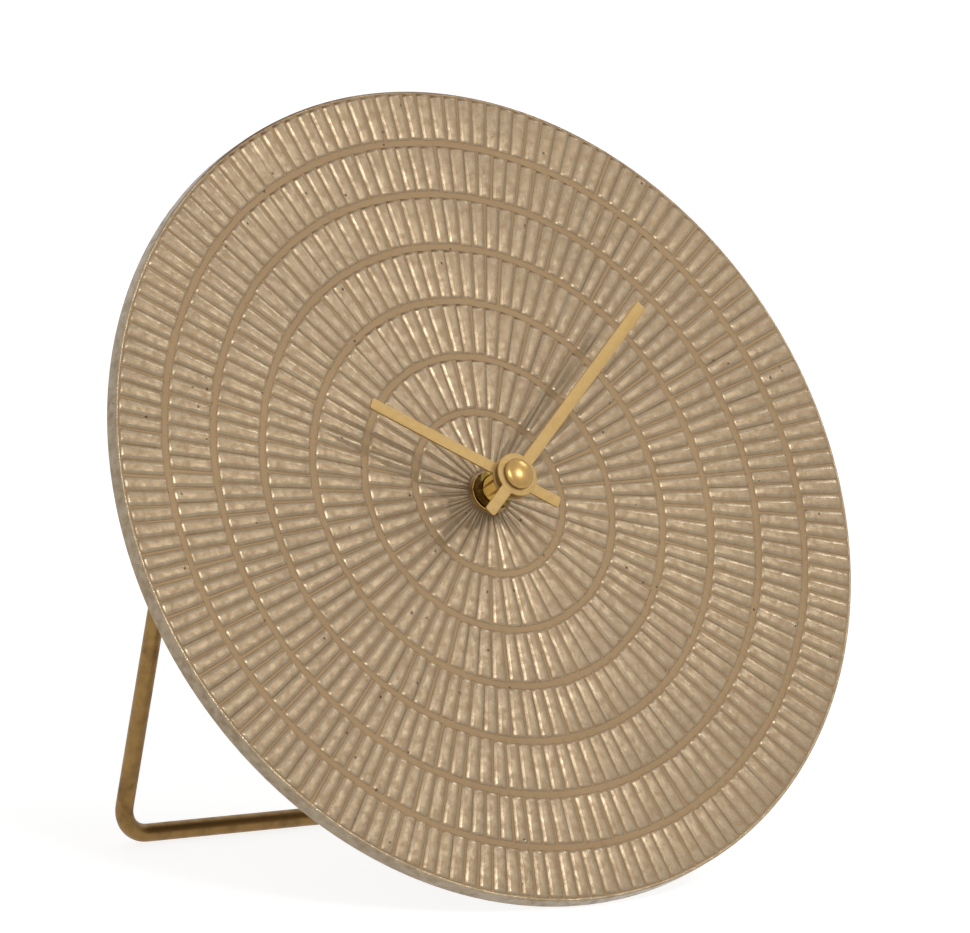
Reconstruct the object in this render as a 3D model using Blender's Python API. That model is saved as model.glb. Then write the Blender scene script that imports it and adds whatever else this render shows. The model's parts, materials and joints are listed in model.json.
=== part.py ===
# A table clock: a round cast disc with seven rings of radial bars leans back on
# a folding stand of bent rod. A quartz movement hangs behind the disc on its
# threaded bushing, and the two hands turn in front of it.
# The front looks along -Y. The origin is on the table, under the middle of the clock.

import math
import random

import bmesh
import bpy
from mathutils import Matrix, Vector

mm = 0.001

# Clearances
fit_gap = 0.3 * mm           # between pieces that touch
run_gap = 0.3 * mm           # round a turning shaft
end_gap = 0.4 * mm           # at the ends and faces of turning wheels
side_gap = 1.0 * mm          # between a hinge bracket and the rod's bends
cut_overrun = 1.0 * mm
merge_limit = 0.001 * mm

# Cast disc
disc_radius = 105.0 * mm
disc_thickness = 4.8 * mm
disc_sides = 72
rim_chamfer = 0.6 * mm
rim_border = 1.2 * mm
bar_relief = 0.6 * mm
bar_end_space = 1.2 * mm
bar_flank_share = 0.22       # of a bar's pitch at its inner end, on each side
bar_wander_share = 0.1       # of a bar's pitch, how far the hand-cut bars stray
ring_edge_shares = (0.2, 0.337, 0.475, 0.61, 0.741, 0.87)
bars_per_ring = (30, 48, 72, 97, 116, 138, 160)
hub_seat_radius = 6.2 * mm
back_recess = 0.8 * mm
back_land = 7.0 * mm
lean_back = math.radians(31.0)

# Folding stand
rod_radius = 2.25 * mm
stand_half_width = 73.0 * mm
foot_bend_radius = 8.0 * mm
pin_bend_radius = 5.0 * mm
hinge_standoff = 6.8 * mm    # from the disc's recess to the pin's axis
leg_lean = math.radians(10.4)
foot_bend_steps = 7
pin_bend_steps = 4

# Hinge brackets and their screws
bracket_width = 10.0 * mm
bracket_half_length = 11.0 * mm
bracket_foot = 2.2 * mm
bracket_rim_space = 18.6 * mm  # from a bracket's outer corner to the edge of the recess
lug_wall = 2.2 * mm
screw_radius = 1.5 * mm
screw_head_radius = 2.7 * mm
screw_head_height = 1.6 * mm
screw_head_edge = 0.5 * mm
screw_inset = 3.2 * mm       # from the end of the bracket's foot
screw_depth = 1.8 * mm       # of the shank in the disc

# Movement case, with the battery in its bay
case_wall = 1.2 * mm
case_corner = 3.0 * mm
bay_corner = 1.0 * mm
battery_radius = 7.1 * mm
battery_length = 49.2 * mm
battery_edge = 0.5 * mm
battery_nub_radius = 2.7 * mm
battery_nub_height = 1.2 * mm
contact_thickness = 0.5 * mm
contact_width = 9.0 * mm
spring_rise = 1.5 * mm       # of the bowed negative contact, at the least
notch_radius = 9.0 * mm      # the finger notch in the bay's outer wall
rubber_radius = 12.0 * mm
rubber_thickness = 1.0 * mm

# Bushing, nut and washer
shaft_radius = 1.2 * mm
pipe_wall = 0.8 * mm
bushing_wall = 0.85 * mm
bushing_height = 8.5 * mm    # above the bars
nut_across_flats = 8.8 * mm
nut_thickness = 2.2 * mm
nut_chamfer = 0.4 * mm
washer_radius = 5.2 * mm
washer_thickness = 0.5 * mm

# Hands
hand_thickness = 0.6 * mm
hand_half_width = 1.5 * mm
hand_corner = 0.7 * mm
hand_tail = 14.0 * mm
hand_hub_radius = 5.5 * mm
minute_hand_length = 64.0 * mm
hour_hand_length = 41.6 * mm
minute_hand_height = 13.0 * mm
hour_hand_height = 10.7 * mm
minute_hand_angle = math.radians(50.4)
hour_hand_angle = math.radians(301.9)
pipe_stand_out = 0.4 * mm    # of the hour pipe above its hand
cap_radius = 3.9 * mm
cap_height = 1.4 * mm
cap_edge = 0.4 * mm
cap_dome_steps = 4
shaft_in_cap = 0.6 * mm

# Teeth: the minute pinion and wheel, then that wheel's pinion and the hour wheel, twelve to one
minute_pinion_teeth = 10
minute_wheel_teeth = 30
hour_pinion_teeth = 8
hour_wheel_teeth = 32
centre_wheel_teeth = 48
third_wheel_teeth = 45
second_wheel_teeth = 36
transfer_wheel_teeth = 30
train_pinion_teeth = 6

# Gear train, in wheels on level planes behind the case's front wall
train_levels = 6
wheel_thickness = 0.9 * mm
level_space = 0.45 * mm
arbor_radius = 0.5 * mm
arbor_steps = 6
motion_module = 0.52 * mm
slow_module = 0.38 * mm
middle_module = 0.35 * mm
fast_module = 0.3 * mm
tooth_tip_share = 0.7        # of the module, beyond the pitch circle
tooth_root_share = 1.3       # of the module, inside the pitch circle
rotor_radius = 2.8 * mm
rotor_thickness = 1.6 * mm
rotor_air_gap = 0.5 * mm
motion_direction = math.radians(190.0)
third_direction = math.radians(60.0)
second_direction = math.radians(20.0)
transfer_direction = math.radians(90.0)
rotor_direction = math.radians(180.0)

# Electric pieces
stator_arm = 4.8 * mm        # between the coil's window and the stator's left end
stator_margin = 2.2 * mm
stator_end = 1.6 * mm        # beyond the rotor, beside the transfer wheel's arbor
stator_thickness = 0.9 * mm
stator_post_radius = 1.2 * mm
coil_radius = 3.0 * mm
coil_flange = 0.4 * mm
coil_flange_width = 0.8 * mm
coil_length = 17.0 * mm
coil_core_radius = 1.2 * mm
coil_core_reach = 1.0 * mm
board_space = 0.8 * mm       # between the board and the stator or the minute wheel's arbor
board_thickness = 1.0 * mm
crystal_radius = 1.0 * mm
crystal_length = 6.0 * mm

# Setting knob
knob_radius = 5.6 * mm
knob_flute_depth = 0.35 * mm
knob_flutes = 15
knob_thickness = 3.0 * mm

round_steps = 24
small_steps = 12
inner_steps = 16
screw_steps = 8
sharp_angle = math.radians(35.0)

# Colour, roughness and metallic value of each finish
finishes = {
    "cast bronze": ((0.42, 0.32, 0.22), 0.42, 0.85),
    "matte gold": ((0.62, 0.42, 0.16), 0.48, 0.55),
    "bright brass": ((0.72, 0.45, 0.16), 0.22, 1.0),
    "aged brass": ((0.30, 0.21, 0.11), 0.34, 0.9),
    "steel": ((0.55, 0.55, 0.56), 0.32, 1.0),
    "copper": ((0.62, 0.26, 0.12), 0.35, 0.9),
    "black plastic": ((0.018, 0.018, 0.02), 0.5, 0.0),
    "white plastic": ((0.78, 0.78, 0.74), 0.45, 0.0),
    "rubber": ((0.02, 0.02, 0.02), 0.85, 0.0),
    "green board": ((0.03, 0.16, 0.07), 0.5, 0.0),
    "battery wrap": ((0.12, 0.13, 0.15), 0.35, 0.2),
}


def step_from(start, direction, teeth_sum, module):
    # The centre of the next wheel: half the teeth of both, times the module, in that direction.
    reach = teeth_sum * module / 2
    return start[0] + reach * math.cos(direction), start[1] + reach * math.sin(direction)


# Wheel centres on the disc's plane, with the shaft at zero
minute_wheel_place = step_from((0, 0), motion_direction, minute_pinion_teeth + minute_wheel_teeth,
                               motion_module)
third_place = step_from((0, 0), third_direction, centre_wheel_teeth + train_pinion_teeth, slow_module)
second_place = step_from(third_place, second_direction, third_wheel_teeth + train_pinion_teeth,
                         middle_module)
transfer_place = step_from(second_place, transfer_direction, second_wheel_teeth + train_pinion_teeth,
                           fast_module)
rotor_x, rotor_y = step_from(transfer_place, rotor_direction, transfer_wheel_teeth + train_pinion_teeth,
                             fast_module)

# The stator, and the window in it for the coil, which lies beside the rotor
window_right = rotor_x - rotor_radius - rotor_air_gap - 2 * stator_margin
window_left = window_right - coil_length - 2 * (coil_core_reach + fit_gap)
window_low = rotor_y - coil_radius - coil_flange - fit_gap
window_high = rotor_y + coil_radius + coil_flange + fit_gap
stator_left = window_left - stator_arm
stator_top = window_high + stator_margin

# The square room in the case takes the battery's row, and above it the wheels and the stator
battery_row = battery_length + battery_nub_height + contact_thickness + spring_rise + 4 * fit_gap
bay_height = 2 * (battery_radius + fit_gap)
minute_wheel_radius = (minute_wheel_teeth / 2 + tooth_tip_share) * motion_module
wheels_low = minute_wheel_place[1] - minute_wheel_radius - end_gap
room_half = max(battery_row / 2, end_gap - stator_left, end_gap + stator_top,
                bay_height + case_wall - wheels_low)
case_half = room_half + case_wall
battery_x = room_half - 2 * fit_gap - contact_thickness - battery_nub_height - battery_length / 2
battery_y = fit_gap + battery_radius - room_half
divider_low_y = bay_height - room_half
divider_top_y = divider_low_y + case_wall

# Places along the disc's normal, from the tops of the bars at zero to the back
level_pitch = wheel_thickness + level_space
works_depth = 2 * end_gap + train_levels * level_pitch + rotor_thickness + case_wall
case_depth = case_wall + max(fit_gap + 2 * battery_radius, works_depth)
base_z = -bar_relief
back_z = -disc_thickness
recess_z = back_z + back_recess
case_front_z = recess_z - fit_gap - rubber_thickness - fit_gap
case_back_z = case_front_z - case_depth
room_front_z = case_front_z - case_wall
cover_front_z = case_back_z + case_wall
battery_z = room_front_z - fit_gap - battery_radius
pipe_radius = shaft_radius + run_gap + pipe_wall
bushing_radius = pipe_radius + run_gap + bushing_wall
hinge_z = recess_z - hinge_standoff

# The outer corners of the hinge brackets keep their space to the edge of the disc's recess
recess_radius = disc_radius - back_land - back_recess
bracket_x = stand_half_width - pin_bend_radius - side_gap - bracket_width / 2
corner_radius = recess_radius - bracket_rim_space
corner_height = math.sqrt(corner_radius ** 2 - (bracket_x + bracket_width / 2) ** 2)
hinge_height = corner_height - bracket_half_length
screw_reach = bracket_half_length - screw_inset

# Angles and heights of the standing clock
open_angle = lean_back + leg_lean
centre_height = disc_radius * math.cos(lean_back) + disc_thickness * math.sin(lean_back)
hinge_rise = hinge_height * math.cos(lean_back) + hinge_z * math.sin(lean_back)
leg_length = (centre_height + hinge_rise - rod_radius) / math.cos(leg_lean)


def start_scene():
    for old in list(bpy.data.objects):
        bpy.data.objects.remove(old, do_unlink=True)
    made = {}
    for name in ("table_clock", "cutters"):
        made[name] = bpy.data.collections.new(name)
        bpy.context.scene.collection.children.link(made[name])
    return made


def make_frame(name, parent=None, location=(0, 0, 0), rotation=(0, 0, 0)):
    frame = bpy.data.objects.new(name, None)
    collections["table_clock"].objects.link(frame)
    frame.parent = parent
    frame.location = location
    frame.rotation_euler = rotation
    return frame


def add_piece(name, data, finish, parent, location=(0, 0, 0), rotation=(0, 0, 0)):
    piece = bpy.data.objects.new(name, data)
    collections["table_clock"].objects.link(piece)
    piece.parent = parent
    piece.location = location
    piece.rotation_euler = rotation
    colour, roughness, metallic = finishes[finish]
    material = bpy.data.materials.new(name + " " + finish)
    material.use_nodes = True
    shader = material.node_tree.nodes["Principled BSDF"]
    shader.inputs["Base Color"].default_value = (*colour, 1)
    shader.inputs["Roughness"].default_value = roughness
    shader.inputs["Metallic"].default_value = metallic
    material.diffuse_color = (*colour, 1)
    data.materials.append(material)
    return piece


def mesh_from(bm, name):
    mesh = bpy.data.meshes.new(name)
    bm.to_mesh(mesh)
    bm.free()
    mesh.shade_smooth()
    mesh.set_sharp_from_angle(angle=sharp_angle)
    return mesh


def cylinder_mesh(name, radius, z_low, z_high, steps=small_steps, turn=Matrix.Identity(4)):
    bm = bmesh.new()
    middle = Matrix.Translation((0, 0, (z_low + z_high) / 2))
    bmesh.ops.create_cone(bm, cap_ends=True, segments=steps, radius1=radius, radius2=radius,
                          depth=z_high - z_low, matrix=turn @ middle)
    return mesh_from(bm, name)


def turned_mesh(name, profile, steps, closed=False):
    # The profile's points are (radius, height), down the outer side.
    bm = bmesh.new()
    points = [bm.verts.new((radius, 0, height)) for radius, height in profile]
    edges = [bm.edges.new(pair) for pair in zip(points, points[1:])]
    if closed:
        edges.append(bm.edges.new((points[-1], points[0])))
    bmesh.ops.spin(bm, geom=points + edges, cent=(0, 0, 0), axis=(0, 0, 1),
                   angle=math.tau, steps=steps, use_merge=True)
    bmesh.ops.remove_doubles(bm, verts=bm.verts, dist=merge_limit)
    bmesh.ops.recalc_face_normals(bm, faces=bm.faces)
    return mesh_from(bm, name)


def tube_mesh(name, outer, inner, z_low, z_high, steps=round_steps):
    ring = [(outer, z_high), (outer, z_low), (inner, z_low), (inner, z_high)]
    return turned_mesh(name, ring, steps, closed=True)


def plate_mesh(name, outlines, z_low, z_high):
    # A flat outline, with any holes as further outlines, between two heights.
    curve = bpy.data.curves.new(name, "CURVE")
    curve.dimensions = "2D"
    curve.fill_mode = "BOTH"
    curve.extrude = (z_high - z_low) / 2
    for outline in outlines:
        spline = curve.splines.new("POLY")
        spline.points.add(len(outline) - 1)
        for point, (x, y) in zip(spline.points, outline):
            point.co = (x, y, 0, 1)
        spline.use_cyclic_u = True
    flat = bpy.data.objects.new(name, curve)
    collections["cutters"].objects.link(flat)
    bpy.context.view_layer.update()
    mesh = bpy.data.meshes.new_from_object(flat.evaluated_get(bpy.context.evaluated_depsgraph_get()))
    bpy.data.objects.remove(flat, do_unlink=True)
    bm = bmesh.new()
    bm.from_mesh(mesh)
    bpy.data.meshes.remove(mesh)
    bmesh.ops.translate(bm, verts=bm.verts, vec=(0, 0, (z_low + z_high) / 2))
    bmesh.ops.remove_doubles(bm, verts=bm.verts, dist=merge_limit)
    bmesh.ops.recalc_face_normals(bm, faces=bm.faces)
    return mesh_from(bm, name)


def combine(target, operation, mesh):
    # The tool shares the target's place, so its mesh is drawn in the target's frame.
    tool = bpy.data.objects.new(target.name + "_" + mesh.name, mesh)
    collections["cutters"].objects.link(tool)
    tool.parent = target.parent
    tool.location = target.location
    tool.rotation_euler = target.rotation_euler
    tool.hide_render = True
    tool.display_type = "WIRE"
    modifier = target.modifiers.new(mesh.name, "BOOLEAN")
    modifier.operation = operation
    modifier.solver = "EXACT"
    modifier.object = tool


def arc(centre, radius, start, end, steps):
    turn = (end - start) / steps
    angles = [start + turn * step for step in range(steps + 1)]
    return [(centre[0] + radius * math.cos(a), centre[1] + radius * math.sin(a)) for a in angles]


def circle(radius, steps=round_steps, centre=(0, 0)):
    return arc(centre, radius, 0, math.tau, steps)[:-1]


def rounded_box(x_low, y_low, x_high, y_high, corner, steps=3):
    quarter = math.pi / 2
    corners = ((x_high, y_high), (x_low, y_high), (x_low, y_low), (x_high, y_low))
    points = []
    for index, (x, y) in enumerate(corners):
        inward_x = x - math.copysign(corner, x - (x_low + x_high) / 2)
        inward_y = y - math.copysign(corner, y - (y_low + y_high) / 2)
        points += arc((inward_x, inward_y), corner, index * quarter, (index + 1) * quarter, steps)
    return points


def bend_path(corners, radii, steps):
    # The straight runs between the corners, with each inner corner turned to an arc.
    path = [Vector(corners[0])]
    for before, at, after, radius, count in zip(corners, corners[1:], corners[2:], radii, steps):
        at = Vector(at)
        back = (Vector(before) - at).normalized()
        ahead = (Vector(after) - at).normalized()
        centre = at + (back + ahead) * radius
        for step in range(count + 1):
            turn = math.pi / 2 * step / count
            path.append(centre - ahead * radius * math.cos(turn) - back * radius * math.sin(turn))
    path.append(Vector(corners[-1]))
    return path


def cast_ring(bm, inner, outer, count, wander):
    # One ring of bars: sectors spun round the centre, each raised inside its own edges.
    ends = [bm.verts.new((radius, 0, base_z)) for radius in (inner, outer)]
    edge = bm.edges.new(ends)
    older = set(bm.faces)
    bmesh.ops.spin(bm, geom=ends + [edge], cent=(0, 0, 0), axis=(0, 0, 1), angle=math.tau,
                   steps=count, use_merge=True)
    faces = [face for face in bm.faces if face not in older]
    pitch = math.tau / count
    spokes = [edge for face in faces for edge in face.edges if is_spoke(edge)]
    for spoke in dict.fromkeys(spokes):
        angle = wander.uniform(-bar_wander_share, bar_wander_share) * pitch
        bmesh.ops.rotate(bm, verts=spoke.verts, cent=(0, 0, 0), matrix=Matrix.Rotation(angle, 3, "Z"))
    bmesh.ops.inset_individual(bm, faces=faces, depth=bar_relief, use_even_offset=True,
                               thickness=bar_flank_share * pitch * inner)


def is_spoke(edge):
    first, second = (vert.co.xy.length for vert in edge.verts)
    return abs(first - second) > merge_limit


def open_edges(bm, radius, height, centre=(0, 0)):
    # The open edges on a circle, found by its radius, its height and its centre.
    axis = Vector((*centre, height))
    return [edge for edge in bm.edges if edge.is_boundary and all(
            abs((vert.co - axis).xy.length - radius) < merge_limit
            and abs(vert.co.z - height) < merge_limit for vert in edge.verts)]


def spin_wall(bm, profile, steps):
    points = [bm.verts.new((radius, 0, height)) for radius, height in profile]
    edges = [bm.edges.new(pair) for pair in zip(points, points[1:])]
    bmesh.ops.spin(bm, geom=points + edges, cent=(0, 0, 0), axis=(0, 0, 1), angle=math.tau,
                   steps=steps, use_merge=True)


def make_dial_disc(head):
    wander = random.Random(7)
    bm = bmesh.new()
    half_space = bar_end_space / 2
    grooves = [share * disc_radius for share in ring_edge_shares]
    starts = [hub_seat_radius] + [groove + half_space for groove in grooves]
    ends = [groove - half_space for groove in grooves] + [disc_radius - rim_border]
    for start, end, count in zip(starts, ends, bars_per_ring):
        cast_ring(bm, start, end, count, wander)
    bore = bushing_radius + fit_gap
    rim_edge = disc_radius - rim_chamfer
    spin_wall(bm, [(rim_edge, base_z), (disc_radius, base_z - rim_chamfer), (disc_radius, back_z),
                   (disc_radius - back_land, back_z), (recess_radius, recess_z)], disc_sides)
    spin_wall(bm, [(bore, recess_z), (bore, base_z)], round_steps)
    socket = screw_radius + fit_gap
    socket_end = recess_z + screw_depth + fit_gap
    places = [(side * bracket_x, hinge_height + end * screw_reach) for side in (-1, 1) for end in (-1, 1)]
    for x, y in places:
        middle = Matrix.Translation((x, y, (recess_z + socket_end) / 2))
        bmesh.ops.create_cone(bm, cap_ends=False, segments=screw_steps, radius1=socket,
                              radius2=socket, depth=socket_end - recess_z, matrix=middle)
    flats = [open_edges(bm, bore, base_z) + open_edges(bm, hub_seat_radius, base_z)]
    for end, start in zip(ends, starts[1:] + [rim_edge]):
        flats.append(open_edges(bm, end, base_z) + open_edges(bm, start, base_z))
    floor = open_edges(bm, bore, recess_z) + open_edges(bm, recess_radius, recess_z)
    for place in places:
        floor += open_edges(bm, socket, recess_z, place)
        flats.append(open_edges(bm, socket, socket_end, place))
    for edges in flats + [floor]:
        bmesh.ops.triangle_fill(bm, edges=edges, use_beauty=True)
    bmesh.ops.recalc_face_normals(bm, faces=bm.faces)
    add_piece("dial_disc", mesh_from(bm, "dial_disc"), "cast bronze", head)


def make_stand(head):
    pivot = make_frame("stand_pivot", head, (0, hinge_height, hinge_z), (open_angle, 0, 0))
    toe_x = bracket_x - bracket_width / 2 - side_gap - pin_bend_radius
    toe_reach = hinge_standoff - fit_gap - rod_radius * math.cos(open_angle)
    toe_length = toe_reach / math.sin(open_angle)
    half = [(toe_x, toe_length, 0), (toe_x, 0, 0), (stand_half_width, 0, 0),
            (stand_half_width, -leg_length, 0)]
    corners = [(-x, y, z) for x, y, z in half] + half[::-1]
    bends = [pin_bend_radius, pin_bend_radius, foot_bend_radius]
    steps = [pin_bend_steps, pin_bend_steps, foot_bend_steps]
    curve = bpy.data.curves.new("stand_rod", "CURVE")
    curve.dimensions = "3D"
    curve.bevel_depth = rod_radius
    curve.bevel_resolution = 3
    curve.use_fill_caps = True
    path = bend_path(corners, bends + bends[::-1], steps + steps[::-1])
    spline = curve.splines.new("POLY")
    spline.points.add(len(path) - 1)
    for point, place in zip(spline.points, path):
        point.co = (*place, 1)
    spline.use_smooth = True
    add_piece("stand_rod", curve, "aged brass", pivot)


def make_bracket(head, side, name):
    # The outline lies across the disc's up line and its back; it is drawn from the foot outwards.
    hole_radius = rod_radius + run_gap
    lug = hole_radius + lug_wall
    pin_rise = hinge_standoff - fit_gap
    outline = [(-bracket_half_length, 0), (bracket_half_length, 0), (bracket_half_length, bracket_foot),
               (lug, bracket_foot)]
    outline += arc((0, pin_rise), lug, 0, math.pi, screw_steps)
    outline += [(-lug, bracket_foot), (-bracket_half_length, bracket_foot)]
    mesh = plate_mesh(name, [outline, circle(hole_radius, small_steps, (0, pin_rise))],
                      -bracket_width / 2, bracket_width / 2)
    turn = Matrix(((0, 0, -1), (1, 0, 0), (0, -1, 0)))
    place = (side * bracket_x, hinge_height, recess_z - fit_gap)
    bracket = add_piece(name, mesh, "aged brass", head, place, turn.to_euler())
    for end in (-1, 1):
        across = Matrix.Translation((end * screw_reach, 0, 0)) @ Matrix.Rotation(-math.pi / 2, 4, "X")
        hole = cylinder_mesh("foot_hole", screw_radius + fit_gap, -cut_overrun,
                             bracket_foot + cut_overrun, turn=across)
        combine(bracket, "DIFFERENCE", hole)


def make_screw(head, name, x, y):
    # The origin is on the bracket's foot, and the shank points to the front.
    shank_end = bracket_foot + fit_gap + fit_gap + screw_depth
    profile = [(0, shank_end), (screw_radius, shank_end), (screw_radius, 0), (screw_head_radius, 0),
               (screw_head_radius, screw_head_edge - screw_head_height),
               (screw_head_radius - screw_head_edge, -screw_head_height), (0, -screw_head_height)]
    foot_top = recess_z - fit_gap - bracket_foot - fit_gap
    add_piece(name, turned_mesh(name, profile, screw_steps), "steel", head, (x, y, foot_top))


def make_hinge(head):
    for side, word in ((-1, "left"), (1, "right")):
        make_bracket(head, side, "hinge_bracket_" + word)
        for end, level in ((-1, "lower"), (1, "upper")):
            make_screw(head, "bracket_screw_" + word + "_" + level, side * bracket_x,
                       hinge_height + end * screw_reach)


def hand_outline(length):
    # A plain stick with eased corners, widened to a round hub at the shaft.
    waist = math.asin(hand_half_width / hand_hub_radius)
    quarter = math.pi / 2
    tip = arc((hand_half_width - hand_corner, length - hand_corner), hand_corner, 0, quarter, 2)
    tail = arc((hand_half_width - hand_corner, hand_corner - hand_tail), hand_corner, -quarter, 0, 2)
    hub = arc((0, 0), hand_hub_radius, waist - quarter, quarter - waist, screw_steps)
    right = tail + hub + tip
    return right + [(-x, y) for x, y in right[::-1]]


def make_hand(parent, name, length, height, bore, angle):
    low, high = height - hand_thickness / 2, height + hand_thickness / 2
    mesh = plate_mesh(name, [hand_outline(length), circle(bore, small_steps)], low, high)
    add_piece(name, mesh, "matte gold", parent, rotation=(0, 0, -angle))


def make_front(head):
    seat = base_z + fit_gap
    washer_top = seat + washer_thickness
    bore = bushing_radius + fit_gap
    add_piece("dial_washer", tube_mesh("dial_washer", washer_radius, bore, seat, washer_top),
              "bright brass", head)
    corner = nut_across_flats / math.sqrt(3)
    nut_low = washer_top + fit_gap
    nut_top = nut_low + nut_thickness
    mesh = plate_mesh("dial_nut", [circle(corner, 6), circle(bore, inner_steps)], nut_low, nut_top)
    nut = add_piece("dial_nut", mesh, "bright brass", head)
    chamfered = [(0, nut_top), (nut_across_flats / 2, nut_top), (corner, nut_top - nut_chamfer),
                 (corner, nut_low - cut_overrun), (0, nut_low - cut_overrun)]
    combine(nut, "INTERSECT", turned_mesh("nut_chamfer", chamfered, round_steps))
    bushing = tube_mesh("threaded_bushing", bushing_radius, pipe_radius + run_gap,
                        case_front_z + fit_gap, bushing_height, inner_steps)
    add_piece("threaded_bushing", bushing, "bright brass", head)
    rubber = tube_mesh("rubber_washer", rubber_radius, bore,
                       recess_z - fit_gap - rubber_thickness, recess_z - fit_gap, inner_steps)
    add_piece("rubber_washer", rubber, "rubber", head)
    make_hand(head, "hour_hand", hour_hand_length, hour_hand_height, pipe_radius + fit_gap,
              hour_hand_angle)
    make_hand(head, "minute_hand", minute_hand_length, minute_hand_height, shaft_radius + fit_gap,
              minute_hand_angle)
    cap_low = minute_hand_height + hand_thickness / 2 + fit_gap
    bore_top = cap_low + shaft_in_cap + fit_gap
    angles = [math.pi / 2 * step / cap_dome_steps for step in range(cap_dome_steps + 1)]
    dome = [(cap_radius * math.sin(a), cap_low + cap_edge + (cap_height - cap_edge) * math.cos(a))
            for a in angles]
    profile = dome + [(cap_radius, cap_low), (shaft_radius + fit_gap, cap_low),
                      (shaft_radius + fit_gap, bore_top), (0, bore_top)]
    add_piece("hand_cap", turned_mesh("hand_cap", profile, inner_steps), "bright brass", head)


def gear_outline(teeth, module, tooth_angle):
    pitch_radius = teeth * module / 2
    radii = (pitch_radius + tooth_tip_share * module, pitch_radius - tooth_root_share * module)
    points = []
    for index in range(2 * teeth):
        angle = tooth_angle + index * math.pi / teeth
        points.append((radii[index % 2] * math.cos(angle), radii[index % 2] * math.sin(angle)))
    return points


def level_top(level):
    return room_front_z - end_gap - level * level_pitch


def gear_mesh(name, teeth, module, level, tooth_angle, holes=()):
    top = level_top(level)
    outlines = [gear_outline(teeth, module, tooth_angle)] + list(holes)
    return plate_mesh(name, outlines, top - wheel_thickness, top)


def mesh_gap(direction, teeth):
    # The angle of the first tooth of a gear that shows a gap back along the line of centres.
    return direction + math.pi + math.pi / teeth


def make_train_arbor(head, name, finish, place, wheel, pinion):
    # Wheel and pinion are (teeth, module, level, angle of a tooth); both share one steel arbor.
    teeth, module, level, angle = wheel
    piece = add_piece(name, gear_mesh(name, teeth, module, level, angle), finish, head, (*place, 0))
    teeth, module, level, angle = pinion
    combine(piece, "UNION", gear_mesh("pinion", teeth, module, level, angle))
    combine(piece, "UNION", cylinder_mesh("arbor", arbor_radius, cover_front_z + end_gap,
                                          room_front_z - end_gap, arbor_steps))


def make_motion_work(head):
    hour = tube_mesh("hour_wheel", pipe_radius, shaft_radius + run_gap,
                     level_top(0) - wheel_thickness,
                     hour_hand_height + hand_thickness / 2 + pipe_stand_out, small_steps)
    piece = add_piece("hour_wheel", hour, "white plastic", head)
    rim_hole = circle(shaft_radius + run_gap + pipe_wall / 2, small_steps)
    combine(piece, "UNION", gear_mesh("hour_gear", hour_wheel_teeth, motion_module, 0,
                                      motion_direction, [rim_hole]))
    shaft_top = minute_hand_height + hand_thickness / 2 + fit_gap + shaft_in_cap
    shaft_low = case_back_z - end_gap - knob_thickness
    shaft = add_piece("minute_arbor", cylinder_mesh("minute_arbor", shaft_radius, shaft_low, shaft_top),
                      "steel", head)
    combine(shaft, "UNION", gear_mesh("cannon_pinion", minute_pinion_teeth, motion_module, 1,
                                      motion_direction))
    make_train_arbor(head, "minute_wheel", "white plastic", minute_wheel_place,
                     (minute_wheel_teeth, motion_module, 1, mesh_gap(motion_direction, minute_wheel_teeth)),
                     (hour_pinion_teeth, motion_module, 0, mesh_gap(motion_direction, hour_pinion_teeth)))


def make_going_train(head):
    teeth = train_pinion_teeth
    bore = circle(shaft_radius + run_gap, small_steps)
    add_piece("centre_wheel", gear_mesh("centre_wheel", centre_wheel_teeth, slow_module, 2,
                                        third_direction, [bore]), "white plastic", head)
    make_train_arbor(head, "third_wheel", "white plastic", third_place,
                     (third_wheel_teeth, middle_module, 3, second_direction),
                     (teeth, slow_module, 2, mesh_gap(third_direction, teeth)))
    make_train_arbor(head, "second_wheel", "white plastic", second_place,
                     (second_wheel_teeth, fast_module, 4, transfer_direction),
                     (teeth, middle_module, 3, mesh_gap(second_direction, teeth)))
    make_train_arbor(head, "transfer_wheel", "white plastic", transfer_place,
                     (transfer_wheel_teeth, fast_module, 5, rotor_direction),
                     (teeth, fast_module, 4, mesh_gap(transfer_direction, teeth)))
    magnet_top = level_top(train_levels)
    magnet = cylinder_mesh("rotor", rotor_radius, magnet_top - rotor_thickness, magnet_top,
                           steps=inner_steps)
    piece = add_piece("rotor", magnet, "steel", head, (rotor_x, rotor_y, 0))
    combine(piece, "UNION", gear_mesh("pinion", teeth, fast_module, 5, mesh_gap(rotor_direction, teeth)))
    combine(piece, "UNION", cylinder_mesh("arbor", arbor_radius, cover_front_z + end_gap,
                                          room_front_z - end_gap, arbor_steps))


def make_stator(head):
    top = level_top(train_levels)
    outer = rounded_box(stator_left, window_low - stator_margin, rotor_x + rotor_radius + stator_end,
                        stator_top, bay_corner)
    window = [(window_left, window_low), (window_right, window_low), (window_right, window_high),
              (window_left, window_high)]
    hole = circle(rotor_radius + rotor_air_gap, inner_steps, (rotor_x, rotor_y))
    stator = plate_mesh("stator", [outer, window, hole], top - stator_thickness, top)
    add_piece("stator", stator, "steel", head)


def make_coil(head):
    half = coil_length / 2
    core_end = half + coil_core_reach
    flange = coil_radius + coil_flange
    inner = half - coil_flange_width
    profile = [(0, core_end), (coil_core_radius, core_end), (coil_core_radius, half), (flange, half),
               (flange, inner), (coil_radius, inner)]
    profile += [(radius, -height) for radius, height in profile[::-1]]
    place = ((window_left + window_right) / 2, rotor_y, level_top(train_levels) - stator_thickness / 2)
    add_piece("coil", turned_mesh("coil", profile, screw_steps), "copper", head, place,
              (0, math.pi / 2, 0))


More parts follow.
